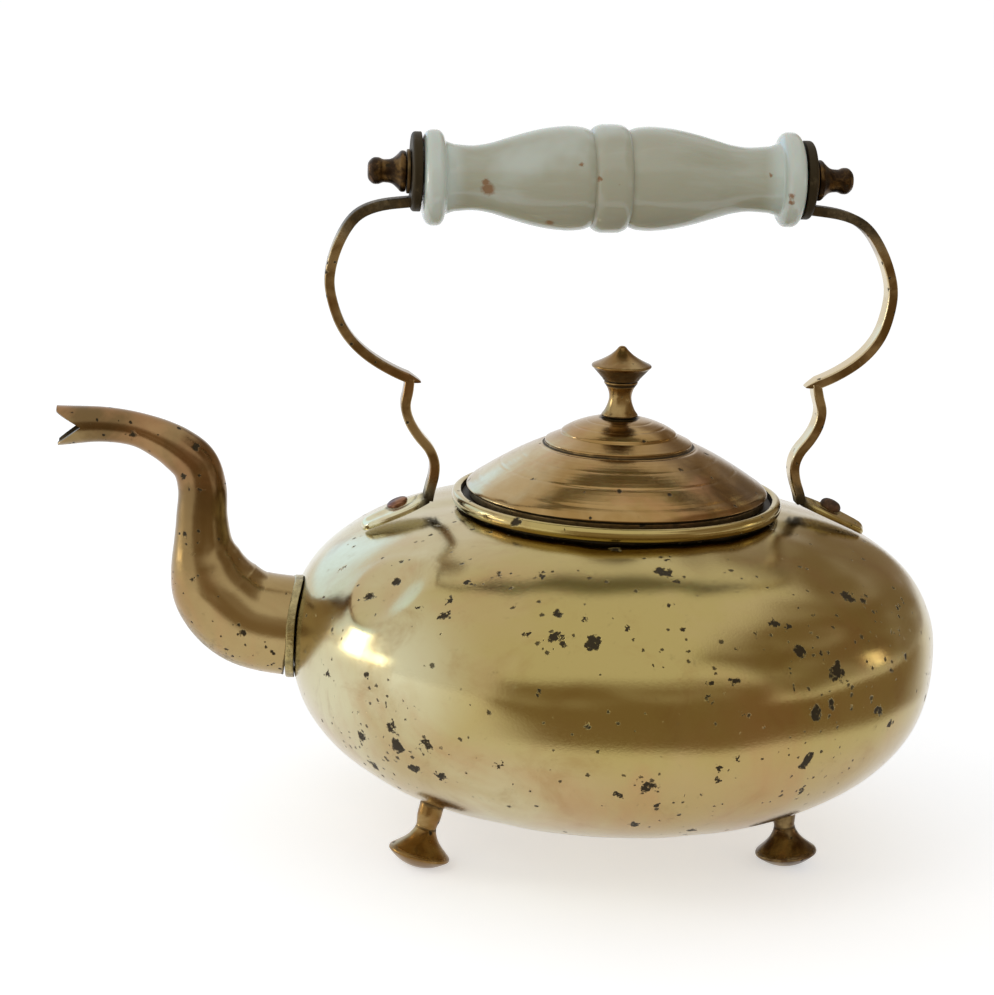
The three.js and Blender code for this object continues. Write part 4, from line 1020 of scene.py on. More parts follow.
class KETTLE_OT_lid(bpy.types.Operator):
    """Build the stepped lid and the ring under it that plugs into the mouth"""
    bl_idname = "kettle.lid"
    bl_label = "Lid"

    def execute(self, context):
        lid, body = context.scene.kettle_lid, context.scene.kettle_body
        slope = [(radius, lid_slope(lid, radius), 2 * MM) for radius in
                 np.linspace(lid.radius - 0.9 * MM, lid.step_radius + 0.3 * MM, 18)]
        rise = lid.top_height - lid.dome_height
        dome = [(out * lid.dome_radius, lid.dome_height + up * rise, 2.5 * MM) for out, up in
                ((0.99, 0.14), (0.86, 0.42), (0.64, 0.73), (0.4, 0.94), (0.2, 1.0))]
        outer = eased([
            (lid.radius - lid.wall, lid.rim_height - lid.wall, 0),
            (lid.radius - 0.2 * MM, lid.rim_height - lid.wall, 0.4 * MM),
            (lid.radius, lid.rim_height - 0.45 * MM, 0.5 * MM), *slope,
            (lid.step_radius, lid.step_height, 0.2 * MM),
            (lid.step_radius, lid.step_height + lid.step_rise, 0.3 * MM),
            (lid.dome_radius, lid.dome_height, 0.5 * MM), *dome, (STUD_HOLE, lid.top_height, 0)])
        outer = lid_rings(filled_path(outer, 0.3 * MM))
        under = even_path(outer[outer[:, 0] < lid.seat_radius], 60) - (0, lid.wall)
        under[:, 0] = np.maximum(under[:, 0] - lid.wall / 2, STUD_HOLE)
        path = np.vstack([outer, under[::-1]])
        radius, height = path[:, 0], path[:, 1]
        step = bell(radius, lid.step_radius + 0.35 * MM, 0.45 * MM) * (height < lid.step_height + 0.5 * MM)
        rim = unit((lid.rim_height - 0.5 * MM - height) / (0.4 * MM))
        rings = sum(dirt * bell(radius, at * MM, 0.35 * MM) for at, _, _, dirt in LID_RINGS)
        knob = 0.7 * unit((6.6 * MM - radius) / (1.2 * MM))
        grime_and_shading = np.maximum.reduce([step, rim, rings, knob])
        grime_and_shading[len(outer):] = 1.0
        piece("lid", [shell(spun(path, TURNED_COLUMNS), grime_and_shading[:, None], True)], lid_brass(), "lid",
              ["lid_dome"])
        seat = body.collar_height - body.ledge_drop + FIT_GAP
        top = lid.rim_height - lid.wall - FIT_GAP
        inner = lid.plug_radius - lid.wall
        ring = eased([
            (inner, seat - lid.plug_depth, 0.3 * MM), (lid.plug_radius, seat - lid.plug_depth, 0.4 * MM),
            (lid.plug_radius, seat, 0.1 * MM), (lid.seat_radius, seat, 0.3 * MM),
            (lid.seat_radius, top, 0.3 * MM), (inner, top, 0.3 * MM)], closed=True)
        points = spun(filled_path(ring, 0.6 * MM), TURNED_COLUMNS)
        piece("bezel", [shell(points, 0.55, True)], lid_brass(), "lid", ["lid_bezel"])
        return {"FINISHED"}


class KETTLE_OT_knob(bpy.types.Operator):
    """Build the knob's waisted stem and its saucer cap"""
    bl_idname = "kettle.knob"
    bl_label = "Knob"

    def execute(self, context):
        lid = context.scene.kettle_lid
        foot = lid.top_height + FIT_GAP
        drawn = lid.stem_foot - lid.stem_neck
        waist = [(lid.stem_foot - inward * drawn, foot + up * lid.stem_length, 2 * MM)
                 for inward, up in ((0, 0.05), (0.4, 0.15), (0.84, 0.36), (1.03, 0.56), (0.78, 0.76))]
        top = foot + lid.stem_length
        stem = eased([
            (STUD_HOLE, foot, 0), (lid.stem_foot, foot, 0.3 * MM), *waist,
            (lid.stem_flange - 0.5 * MM, top - lid.wall, 0.4 * MM),
            (lid.stem_flange, top - 0.6 * MM, 0.3 * MM),
            (lid.stem_flange, top, 0.3 * MM), (STUD_HOLE, top, 0)])
        stem = filled_path(stem, 0.25 * MM)
        rise = (stem[:, 1] - foot) / lid.stem_length
        grime_and_shading = np.maximum(unit(1 - rise / 0.08), 0.9 * bell(rise, 0.9, 0.05))
        piece("knob_waist", [shell(spun(stem, SMALL_COLUMNS), grime_and_shading[:, None], True)], cast_brass(), "lid",
              ["knob_stem"])
        low = top + FIT_GAP
        rim = low + 0.4 * lid.cap_height
        peak = 0.6 * lid.cap_height
        saucer = [(out * lid.cap_radius, rim + up * peak, 1.6 * MM) for out, up in
                  ((0.985, 0.09), (0.66, 0.31), (0.38, 0.56), (0.2, 0.8), (0.12, 0.95))]
        cap = eased([
            (0, low, 0), (lid.cap_foot, low, 0.3 * MM), (lid.cap_foot + 0.2 * MM, low + 0.5 * MM, 0.2 * MM),
            (lid.cap_radius - 0.5 * MM, rim - 0.35 * MM, 0.4 * MM),
            (lid.cap_radius, rim, 0.25 * MM), *saucer,
            (0.06 * lid.cap_radius, low + lid.cap_height, 0.4 * MM), (0, low + lid.cap_height, 0)])
        cap = filled_path(cap, 0.25 * MM)
        under = 0.55 * unit((rim - cap[:, 1]) / (0.6 * MM))
        piece("knob_saucer", [shell(spun(cap, SMALL_COLUMNS), under[:, None])], cast_brass(), "lid",
              ["knob_cap"])
        return {"FINISHED"}


# Spout

# The spout's centreline, as shares of the way out and up from its root to its tip
SPOUT_PATH_SHARES = (
    (0, 0), (0.1, 0.003), (0.278, 0.054), (0.387, 0.184), (0.438, 0.358), (0.45, 0.54), (0.45, 0.7),
    (0.477, 0.813), (0.539, 0.887), (0.613, 0.942), (0.702, 0.985), (0.825, 1.007), (1, 1),
)
# Its girth: a share of the centreline's length, and the share of the root's radius there
SPOUT_GIRTH_SHARES = (
    (0, 1), (0.1, 1), (0.2, 0.97), (0.29, 0.9), (0.37, 0.72), (0.43, 0.57), (0.5, 0.502), (0.58, 0.476),
    (0.66, 0.45), (0.74, 0.385), (0.8, 0.34), (0.9, 0.35), (1, 0.395),
)


def root_share(spout, body, run, angle):
    """Share of the spout's length at which each line along it leaves its flange on the body."""
    side = spout.root_radius * np.sin(angle)
    height = spout.root_height - spout.root_radius * np.cos(angle)
    in_flange = 1.5 * MM
    face = np.sqrt((body_radius(body, height) + in_flange) ** 2 - side ** 2)
    return (face - spout.start) / run


def spout_wall(spout, body, inset, rows, columns):
    """The tube: rings whose radius follows the girth, set square to a smooth centreline. Each line
    along it starts on the flange and ends on the fork, which cuts deepest at half height; both ends
    fade out along the line with a high power. Near the mouth the wall gets thinner."""
    shares = np.array(SPOUT_PATH_SHARES)
    ends = np.array([-(spout.reach - spout.start), spout.tip_height - spout.root_height])
    line = smooth_path(shares * ends + (-spout.start, spout.root_height), 1500)
    run = np.linalg.norm(np.diff(line, axis=0), axis=1).sum()
    girth = smooth_path(SPOUT_GIRTH_SHARES, 600)
    along = np.gradient(line, axis=0)
    along /= np.linalg.norm(along, axis=1, keepdims=True)
    angle = ring_angles(columns)
    tip = spout.root_radius * girth[-1, 1]
    cut = unit(1 - np.abs(np.cos(angle)) * tip / (tip - spout.fork_lip))
    at = np.linspace(0, 1, rows)[:, None]
    place = at + root_share(spout, body, run, angle) * (1 - at) ** 6
    place = place - cut * spout.fork_depth / run * at ** 8
    table = np.linspace(0, 1, len(line))
    middle = [np.interp(place, table, line[:, axis]) for axis in (0, 1)]
    heading = [np.interp(place, table, along[:, axis]) for axis in (0, 1)]
    radius = spout.root_radius * np.interp(place, girth[:, 0], girth[:, 1])
    lip, thinner = 0.86, 0.45
    radius = radius - inset * np.where(place > lip, 1 - thinner * (place - lip) / (1 - lip), 1)
    across = radius * np.cos(angle)
    return np.stack([middle[0] - heading[1] * across, radius * np.sin(angle),
                     middle[1] + heading[0] * across], axis=-1)


def spout_ring(spout, body):
    """The ring round the root: a small rounded section whose outer side stands off the body's
    curve by the flange's height all round."""
    section = eased([
        (spout.root_radius - 1.2 * MM, 0.1 * MM, 0.1 * MM), (spout.flange_radius, 0.1 * MM, 0.3 * MM),
        (spout.flange_radius, spout.flange_height - 0.3 * MM, 0.5 * MM),
        (spout.root_radius + 0.05 * MM, spout.flange_height, 0.2 * MM),
        (spout.root_radius - 1.2 * MM, spout.flange_height - 0.4 * MM, 0.2 * MM)], closed=True)
    angle = ring_angles(SMALL_COLUMNS * 2)
    out, off = section[:, 0, None], section[:, 1, None]
    side = out * np.sin(angle)
    height = spout.root_height - out * np.cos(angle)
    face = np.sqrt((body_radius(body, height) + off) ** 2 - side ** 2)
    return np.stack([-face, side, height], axis=-1), section


class KETTLE_OT_spout(bpy.types.Operator):
    """Build the swan-neck spout with its forked mouth and the ring round its root"""
    bl_idname = "kettle.spout"
    bl_label = "Spout"

    def execute(self, context):
        spout, body = context.scene.kettle_spout, context.scene.kettle_body
        rows, columns = 260, 160
        outer = spout_wall(spout, body, 0, rows, columns)
        inner = spout_wall(spout, body, spout.wall, rows // 2, columns)[::-1]
        at = np.linspace(0, 1, rows)[:, None]
        angle = ring_angles(columns)
        below = unit(np.cos(angle)) ** 2
        root = unit(1 - at / 0.015)
        dark_underside = 0.5 * below * bell(at, 0.2, 0.13)
        grime_and_shading = np.vstack([np.maximum(root, dark_underside), np.full((rows // 2, columns), 0.75)])
        piece("spout", [shell(np.vstack([outer, inner]), grime_and_shading, True)], spout_brass(), "kettle",
              ["spout_tube"])
        ring, section = spout_ring(spout, body)
        dark = np.maximum(unit(1 - section[:, 1] / (0.6 * MM)), 0.42)[:, None]
        piece("spout_ring", [shell(ring, dark, True)], body_brass(), "kettle",
              ["spout_flange"])
        return {"FINISHED"}


# Handle straps, pads and rivets

# Shares of the way across and down, of the bow from lug to widest reach, of the bow from there to
# the cusp, and of the ogee from the notch to the root. The leaf's are shares of its half width.
BOW_TOP_SHARES = ((0.39, 0.06), (0.63, 0.165), (0.756, 0.31), (0.854, 0.487), (0.927, 0.665))
BOW_FOOT_SHARES = ((0.044, 0.25), (0.119, 0.444), (0.242, 0.604), (0.437, 0.76), (0.77, 0.927))
OGEE_SHARES = ((0.09, 0.03), (-0.02, 0.14), (0.1, 0.285), (0.42, 0.42), (0.82, 0.54), (1, 0.66),
               (0.95, 0.79), (0.8, 0.91))
LEAF_SHARES = (0.42, 0.72, 0.92, 1, 0.98, 0.88, 0.7, 0.46)


def between(start, end, shares):
    """Places that are given shares of the way across and down from one corner to another."""
    start, end = np.asarray(start), np.asarray(end)
    return start + np.asarray(shares) * (end - start)


def sprung(handle, body, points):
    """Places turned up about the tail-side pad's tip, as the sprung pads are. The middle plane
    is x and z, so the turn is about y."""
    tip = np.array([handle.pad_reach, 0.0, shoulder_height(body, handle.pad_reach)])
    turning = Matrix.Rotation(handle.pad_lift, 3, "Y")
    return (points - tip) @ np.array(turning).T + tip


def racked(handle, grip, body, points):
    """Places pushed towards the spout in step with their height over the strap's root."""
    foot = shoulder_height(body, handle.root)
    part = np.maximum(points[..., 2] - foot, 0) / (grip.height - foot)
    moved = points.copy()
    moved[..., 0] -= handle.rack * part
    return moved


def ribbon(path, width, thickness, tip_in=1.0, tip_out=1.0):
    """A flat bar carried along a path in the middle plane: a rounded section whose size is drawn in
    towards both ends, each closed by a pole. Also says which of its lines lie on the inner face."""
    half, rounding = 0.5, 0.16
    section = eased([(half, half, rounding), (-half, half, rounding), (-half, -half, rounding),
                     (half, -half, rounding)], closed=True)
    along = np.gradient(path, axis=0)
    along /= np.linalg.norm(along, axis=1, keepdims=True)
    run = np.concatenate([[0.0], np.cumsum(np.linalg.norm(np.diff(path, axis=0), axis=1))])
    ease_in = unit(run / (3 * MM)) ** 0.5
    ease_out = unit((run[-1] - run) / (4 * MM)) ** 0.8
    size = (tip_in + (1 - tip_in) * ease_in) * (tip_out + (1 - tip_out) * ease_out)
    size = np.concatenate([[0.0], size, [0.0]])[:, None]
    middle = np.vstack([path[:1], path, path[-1:]])
    heading = np.vstack([along[:1], along, along[-1:]])
    off = section[:, 0] * thickness * size
    side = section[:, 1] * width * np.where(size > 0, 0.5 + 0.5 * size, 0)
    bar = np.stack([middle[:, :1] - heading[:, 1:] * off, side, middle[:, 1:] + heading[:, :1] * off],
                   axis=-1)
    return bar, section[:, 0] < -0.35


def leaf(handle, body):
    """The pad: a leaf along the shoulder, as wide as its shares say. Each slice is a rounded bar
    with a low ridge, bent to the shoulder's curve, and the whole is turned up about its tip."""
    heel = handle.root - handle.thickness / 2
    at = np.linspace(0, 1, 70)
    reach = (heel + at * (handle.pad_reach - heel))[:, None]
    outline = smooth_path(np.stack([np.linspace(0, 1, len(LEAF_SHARES)), LEAF_SHARES], axis=-1), 200)
    width = np.interp(at, outline[:, 0], outline[:, 1])[:, None] * handle.pad_width
    nose = unit(np.minimum(at / 0.03, (1 - at) / 0.13))[:, None]
    ends = np.sqrt(1 - (1 - nose) ** 2)
    section = eased([(1, 0.05, 0.1), (1, 0.95, 0.35), (0.35, 1.0, 0.3), (-0.35, 1.0, 0.3),
                     (-1, 0.95, 0.35), (-1, 0.05, 0.1)], closed=True)
    full = 0.3 + 0.7 * ends
    side = width * section[:, 0] * full
    ridge = handle.pad_ridge * bell(section[:, 0], 0, 0.42) * (section[:, 1] > 0.5)
    up = FIT_GAP + (handle.pad_thickness * section[:, 1] + ridge) * full
    radius = np.hypot(reach, side)
    height = shoulder_height(body, radius)
    slope = (shoulder_height(body, radius + SMALL) - height) / SMALL
    steep = 1 / np.sqrt(1 + slope ** 2)
    points = np.stack([reach - slope * steep * up * reach / radius,
                       side - slope * steep * up * side / radius, height + steep * up], axis=-1)
    poles = [np.broadcast_to(row.mean(axis=0), (1, *row.shape)) for row in (points[0], points[-1])]
    return sprung(handle, body, np.vstack([poles[0], points, poles[1]]))


def rivet_seat(handle, body):
    """Where the tail-side rivet stands on the sprung shoulder, and its axis."""
    reach = handle.rivet_reach
    height = float(shoulder_height(body, reach))
    slope = (float(shoulder_height(body, reach + SMALL)) - height) / SMALL
    axis = np.array([-slope, 0.0, 1.0]) / math.hypot(slope, 1)
    seat = np.array([reach, 0.0, height])
    point = sprung(handle, body, seat[None])[0]
    return point, sprung(handle, body, (seat + axis)[None])[0] - point


def sided(points, side):
    """Places drawn for the tail side, mirrored for the spout side."""
    return points * (side, 1.0, 1.0)


class KETTLE_OT_straps(bpy.types.Operator):
    """Build both forged straps with their lugs and pads, and the rivets in the pads"""
    bl_idname = "kettle.straps"
    bl_label = "Straps and rivets"

    def execute(self, context):
        scene = context.scene
        handle, body, grip = scene.kettle_handle, scene.kettle_body, scene.kettle_grip
        lug_in = grip.half_length + grip.end_gap
        lug_out = lug_in + handle.lug_thickness
        top = (lug_out, handle.top)
        belly = (handle.bow, handle.bow_height)
        run = handle.pad_reach - handle.root
        drop = float(shoulder_height(body, handle.root) - shoulder_height(body, handle.pad_reach))
        root_up = math.hypot(run, drop) * math.sin(handle.pad_lift) + handle.pad_thickness / 2 + FIT_GAP
        root_height = float(shoulder_height(body, handle.root)) + root_up
        bow = relaxed(smooth_path(np.vstack([
            (lug_out - 1 * MM, handle.top), between(top, belly, BOW_TOP_SHARES), belly,
            between(belly, (handle.cusp, handle.cusp_height), BOW_FOOT_SHARES),
            (handle.cusp, handle.cusp_height)]), 240))
        notch = (handle.notch, handle.notch_height)
        joint = bow[120:][np.abs(bow[120:, 0] - handle.notch + 1.2 * MM).argmin()]
        ogee = relaxed(smooth_path(np.vstack([
            joint, between(notch, (handle.waist, root_height), OGEE_SHARES),
            (handle.root, root_height)]), 170), 40)
        upper, inner_face = ribbon(bow, handle.width, handle.thickness, tip_out=0.12)
        lower, _ = ribbon(ogee, handle.width, handle.thickness, tip_in=0.9)
        lug = eased([
            (grip.rod_radius + FIT_GAP, 0, 0), (handle.lug_radius, 0, 0.3 * MM),
            (handle.lug_radius, handle.lug_thickness - 0.6 * MM, 0.6 * MM),
            (handle.lug_radius - 0.8 * MM, handle.lug_thickness, 0.4 * MM),
            (grip.rod_radius + FIT_GAP, handle.lug_thickness, 0)], closed=True)
        lug = turned(filled_path(lug, 0.6 * MM), SMALL_COLUMNS, (lug_in, 0, grip.height), (1, 0, 0))
        pad = leaf(handle, body)
        point, axis = rivet_seat(handle, body)
        head_foot = FIT_GAP + handle.pad_thickness + handle.pad_ridge
        dark_from = 172 * MM
        high = unit((upper[..., 2] - dark_from) / (10 * MM))
        deep = unit(1 - (lower[..., 2] - root_height) / (9 * MM))
        # Painted light: the straps' inner faces are made paler, and on the tail side the bow's inner face
        # too
        worn = 0.95 * inner_face
        lower_grime_and_light = deep - worn * (1 - deep)
        round_rivet = 0.5 * bell(np.hypot(pad[..., 0] - point[0], pad[..., 1]) / (4.3 * MM), 1, 0.16)
        pad_darkening = np.maximum(round_rivet, unit(1 - (pad[..., 0] - handle.root) / (4 * MM)))
        for side, end in ((-1, "spout_side"), (1, "tail_side")):
            upper_grime_and_light = 0.75 * high - worn * (1 - high) * (side > 0)
            parts = [
                shell(racked(handle, grip, body, sided(upper, side)), upper_grime_and_light),
                shell(racked(handle, grip, body, sided(lower, side)), lower_grime_and_light),
                shell(sided(pad, side), pad_darkening),
                shell(sided(lug, side) - (handle.rack, 0, 0), 1.0, True)]
            piece(f"strap_{end}", parts, strap_brass(), "kettle", [f"handle_strap_{end}"])
            head = self.head(handle, head_foot, handle.rivet_rise * (0.55 if side < 0 else 1.0))
            head = turned(head, SMALL_COLUMNS, point, axis)
            scratch = bell(head[..., 1], 0.3 * MM, 0.4 * MM)
            grime_and_shading = 0.95 * scratch if side < 0 else 0.6 + 0.3 * scratch
            piece(f"rivet_{end}", [shell(sided(head, side), grime_and_shading)], rivet_copper(), "kettle",
                  [f"pad_rivet_{end}"])
        return {"FINISHED"}

    def head(self, handle, foot, rise):
        """Outline of a rivet's head over the shoulder: a low dome on a short upright edge."""
        low = foot - 1.5 * MM
        return filled_path(eased([
            (0, low, 0), (handle.rivet_radius * 0.9, low, 0),
            (handle.rivet_radius, foot - 0.2 * MM, 0.4 * MM),
            (handle.rivet_radius * 0.97, foot + 0.4 * rise, 1.5 * MM),
            (handle.rivet_radius * 0.72, foot + 0.84 * rise, 1.5 * MM),
            (0.3 * handle.rivet_radius, foot + rise, 1 * MM), (0, foot + rise, 0)]), 0.3 * MM)


# Glass grip, rod, washers and nuts

class KETTLE_OT_grip(bpy.types.Operator):
    """Build the turned glass grip, its rod, the washers and the finial nuts"""
    bl_idname = "kettle.grip"
    bl_label = "Grip and nuts"

    def execute(self, context):
        scene = context.scene
        handle, grip = scene.kettle_handle, scene.kettle_grip
        shoulder = grip.half_length - grip.flange_width
        half = {}
        for sign in (-1, 1):
            groove = (grip.groove_radius, sign * grip.bead_width / 2 - grip.bead_shift)
            bulge = (grip.bulge_radius, sign * grip.bulge_place - grip.bead_shift)
            neck = (grip.neck_radius, sign * grip.neck_place - grip.bead_shift / 2)
            flank = smooth_path(np.vstack([
                between(groove, bulge, ((0.15, 0.06), (0.7, 0.3), (1, 0.75))), bulge,
                between(bulge, neck, ((0.1, 0.2), (0.3, 0.4), (0.6, 0.62), (0.88, 0.82), (1, 1))),
                (grip.neck_radius + 0.35 * MM, sign * (shoulder - 2.4 * MM))]), 60)
            flange = eased(np.vstack([
                np.append(flank[-1], 0)[None],
                [(grip.neck_radius + 1.2 * MM, sign * (shoulder + 0.3 * MM), 2.4 * MM),
                 (grip.flange_radius - 1.5 * MM, sign * (shoulder + 0.5 * MM), 1.3 * MM),
                 (grip.flange_radius + 0.05 * MM, sign * (shoulder + 1.7 * MM), 1.4 * MM),
                 (grip.flange_radius + 0.05 * MM, sign * (grip.half_length - 1.5 * MM), 1.6 * MM),
                 (grip.flange_radius - 2 * MM, sign * grip.half_length, 1.6 * MM),
                 (grip.bore + 0.5 * MM, sign * grip.half_length, 0.4 * MM),
                 (grip.bore, sign * (grip.half_length - 0.6 * MM), 0)]]))
            half[sign] = np.vstack([flank, flange[1:]])
        groove_out = grip.bead_width / 2
        bead = [(grip.groove_radius + up * (grip.bead_radius - grip.groove_radius),
                 along * groove_out - grip.bead_shift, 1.5 * MM)
                for up, along in ((0.02, -1.02), (0.55, -0.88), (0.98, -0.55), (1.03, 0), (0.98, 0.55),
                                  (0.55, 0.88), (0.02, 1.02))]
        path = filled_path(np.vstack([half[-1][::-1], eased(bead), half[1]]), 0.8 * MM)
        middle = np.array([-handle.rack, 0, grip.height - grip.hang])
        axis = (math.cos(grip.tilt), 0, math.sin(grip.tilt))
        ground = 0.8 * (path[:, 0] < grip.bore + 1.5 * MM) * (np.abs(path[:, 1]) > shoulder)
        crease = 0.35 * bell(np.abs(path[:, 1] + grip.bead_shift), groove_out, 0.5 * MM)
        grime_and_shading = np.maximum(ground, crease)
        points = turned(path, TURNED_COLUMNS, middle, axis)
        piece("grip", [shell(points, grime_and_shading[:, None], True)], opal_glass(), "grip",
              ["glass_grip"])
        self.fastenings(handle, grip)
        return {"FINISHED"}

    def fastenings(self, handle, grip):
        """The rod through the glass, and outside each lug a washer and a turned nut."""
        face = grip.half_length + grip.end_gap + handle.lug_thickness + FIT_GAP
        nut_face = face + grip.washer_thickness + FIT_GAP
        in_nut = 6 * MM
        rod_half = nut_face + in_nut
        rod = eased([(0, -rod_half, 0), (grip.rod_radius, -rod_half, 0.4 * MM),
                     (grip.rod_radius, rod_half, 0.4 * MM), (0, rod_half, 0)])
        centre = np.array([-handle.rack, 0, grip.height])
        points = turned(filled_path(rod, 2 * MM), SMALL_COLUMNS // 2, centre, (1, 0, 0))
        piece("rod", [shell(points, 0.4)], dark_brass(), "kettle", ["handle_rod"])
        inner = grip.rod_radius + FIT_GAP
        washer = eased([(inner, 0, 0.1 * MM), (grip.washer_radius, 0, 0.2 * MM),
                        (grip.washer_radius, grip.washer_thickness, 0.3 * MM),
                        (inner, grip.washer_thickness, 0.1 * MM)], closed=True)
        flare = [(grip.nut_neck + out * (grip.nut_foot - grip.nut_neck), along * grip.nut_length, 1.4 * MM)
                 for out, along in ((1.0, 0.12), (0.62, 0.2), (0.02, 0.36), (-0.04, 0.6))]
        nut = eased([
            (0, 0, 0), (grip.nut_foot - 0.2 * MM, 0, 0.3 * MM), *flare,
            (grip.nut_end, 0.7 * grip.nut_length, 0.5 * MM),
            (grip.nut_end + 0.05 * MM, 0.86 * grip.nut_length, 0.8 * MM),
            (0.62 * grip.nut_end, grip.nut_length, 0.8 * MM), (0, grip.nut_length, 0)])
        nut = filled_path(nut, 0.3 * MM)
        washer = filled_path(washer, 0.4 * MM)
        for side, end in ((-1, "spout_side"), (1, "tail_side")):
            def outside(distance):
                """A place on the rod's line, that far from its middle on this side."""
                return centre + (side * distance, 0, 0)
            ring = turned(washer, SMALL_COLUMNS, outside(face), (side, 0, 0))
            piece(f"washer_{end}", [shell(ring, 0.6, True)], cast_brass(), "kettle",
                  [f"nut_washer_{end}"])
            knob = turned(nut, SMALL_COLUMNS, outside(nut_face), (side, 0, 0))
            piece(f"nut_{end}", [shell(knob, 0.0)], dark_brass(), "kettle",
                  [f"finial_nut_{end}"])


# Feet

# Node, reach of the foot's print from the body's axis in mm, and its bearing and lean in degrees
FEET = (
    ("foot_front_left", 65.4, -151.3, 16),
    ("foot_front_right", 58.6, -31.9, 7),
    ("foot_back", 62, 88.4, 10),
)


def foot_stand(foot, reach, bearing, lean):
    """The foot of a leaning foot's axis on the floor, and the axis. The dome under the disc rolls on
    the floor, so its rim is lifted as the foot leans."""
    out = np.array([math.cos(bearing), math.sin(bearing), 0.0])
    axis = -math.sin(lean) * out + math.cos(lean) * UP
    dome = (foot.disc_radius ** 2 + foot.dome_depth ** 2) / (2 * foot.dome_depth)
    lift = dome - foot.worn_depth - (dome - foot.dome_depth) * math.cos(lean)
    return out * reach + UP * lift - axis * foot.dome_depth, axis


class KETTLE_OT_feet(bpy.types.Operator):
    """Build the three turned feet and the pads that they are soldered on by"""
    bl_idname = "kettle.feet"
    bl_label = "Feet"

    def execute(self, context):
        foot, body = context.scene.kettle_foot, context.scene.kettle_body
        rise = foot.flare_height - foot.dome_depth
        flare = foot.disc_radius - foot.neck_radius
        dome = [(out * foot.disc_radius, up * foot.dome_depth, 2 * MM)
                for out, up in ((0.35, 0.06), (0.66, 0.36), (0.9, 0.76))]
        waist = [(foot.neck_radius + out * flare, foot.dome_depth + up * rise, 1.6 * MM) for out, up in
                 ((0.96, 0.12), (0.76, 0.24), (0.49, 0.40), (0.25, 0.58), (0.07, 0.8), (-0.02, 1.0))]
        top = foot.flare_height + foot.neck_radius
        end = top + 16 * MM
        path = filled_path(eased([
            (0, 0, 0), *dome, (foot.disc_radius, foot.dome_depth - 0.1 * MM, 0.35 * MM),
            (foot.disc_radius, foot.dome_depth + 0.45 * MM, 0.35 * MM), *waist,
            (foot.top_radius, top, 1 * MM), (foot.top_radius, end, 0), (0, end, 0)]), 0.3 * MM)
        up = path[:, 1]
        line = 0.6 * bell(up, foot.flare_height * 0.97, 0.4 * MM)
        edge = 0.35 * bell(up, foot.dome_depth + 0.9 * MM, 0.5 * MM)
        grime_and_shading = np.maximum(line, edge)[:, None]
        for name, reach, bearing, lean in FEET:
            base, axis = foot_stand(foot, reach * MM, math.radians(bearing), math.radians(lean))
            points = turned(path, SMALL_COLUMNS, base, axis)
            out = np.hypot(points[..., 0], points[..., 1])
            ceiling = belly_height(body, np.minimum(out, body.radius)) - 0.5 * MM
            near = unit(1 - (ceiling - points[..., 2]) / (2.5 * MM))
            points[..., 2] = np.clip(points[..., 2], 0, ceiling)
            piece(f"{name}_turned", [shell(points, np.maximum(grime_and_shading, near))], cast_brass(), "kettle",
                  [name])
            self.pad(name, foot, body, base, axis)
        return {"FINISHED"}

    def pad(self, name, foot, body, base, axis):
        """A round plate under the belly where the foot's axis meets it: rings in the plane that
        touches the belly there, each dropped on the belly's own curve."""
        place = base.copy()
        for _ in range(8):
            height = belly_height(body, np.hypot(place[0], place[1]))
            place = base + axis * (height - base[2]) / axis[2]
        out = place[:2] / np.hypot(*place[:2])
        reach = np.hypot(*place[:2])
        slope = (belly_height(body, reach + SMALL) - belly_height(body, reach)) / SMALL
        steep = 1 / math.sqrt(1 + slope ** 2)
        section = eased([(0, 0.1 * MM, 0), (foot.pad_radius - 0.2 * MM, 0.1 * MM, 0.1 * MM),
                         (foot.pad_radius, 0.5 * MM, 0.3 * MM),
                         (foot.pad_radius - 0.5 * MM, foot.pad_thickness, 0.4 * MM),
                         (0, foot.pad_thickness, 0)])
        section = filled_path(section, 0.5 * MM)
        angle = ring_angles(SMALL_COLUMNS)
        uphill = section[:, :1] * np.cos(angle) * steep
        aside = section[:, :1] * np.sin(angle)
        plan_x = place[0] + out[0] * uphill - out[1] * aside
        plan_y = place[1] + out[1] * uphill + out[0] * aside
        height = belly_height(body, np.hypot(plan_x, plan_y)) - section[:, 1:] * steep
        shift = section[:, 1:] * steep * slope
        points = np.stack([plan_x + out[0] * shift, plan_y + out[1] * shift, height], axis=-1)
        piece(f"{name}_plate", [shell(points, 0.45)], cast_brass(), "kettle", [f"{name}_pad"])


# Fixings that stay as they are in the frame

class KETTLE_OT_fixings(bpy.types.Operator):
    """Give the stud, its nut and the rivet burrs inside the kettle their finish"""
    bl_idname = "kettle.fixings"
    bl_label = "Inner fixings"

    def execute(self, context):
        finishes = {"knob_stud": cast_brass(), "knob_nut": cast_brass(),
                    "rivet_burr_spout_side": rivet_copper(), "rivet_burr_tail_side": rivet_copper()}
        for name, finish in finishes.items():
            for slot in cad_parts[name].material_slots:
                slot.link = "OBJECT"
                slot.material = finish
        return {"FINISHED"}


# Studio

def aimed(location, target):
    """The turn and place of a lamp that shines at a target."""
    away = Vector(location) - Vector(target)
    return Matrix.Translation(location) @ away.to_track_quat("Z", "Y").to_matrix().to_4x4()


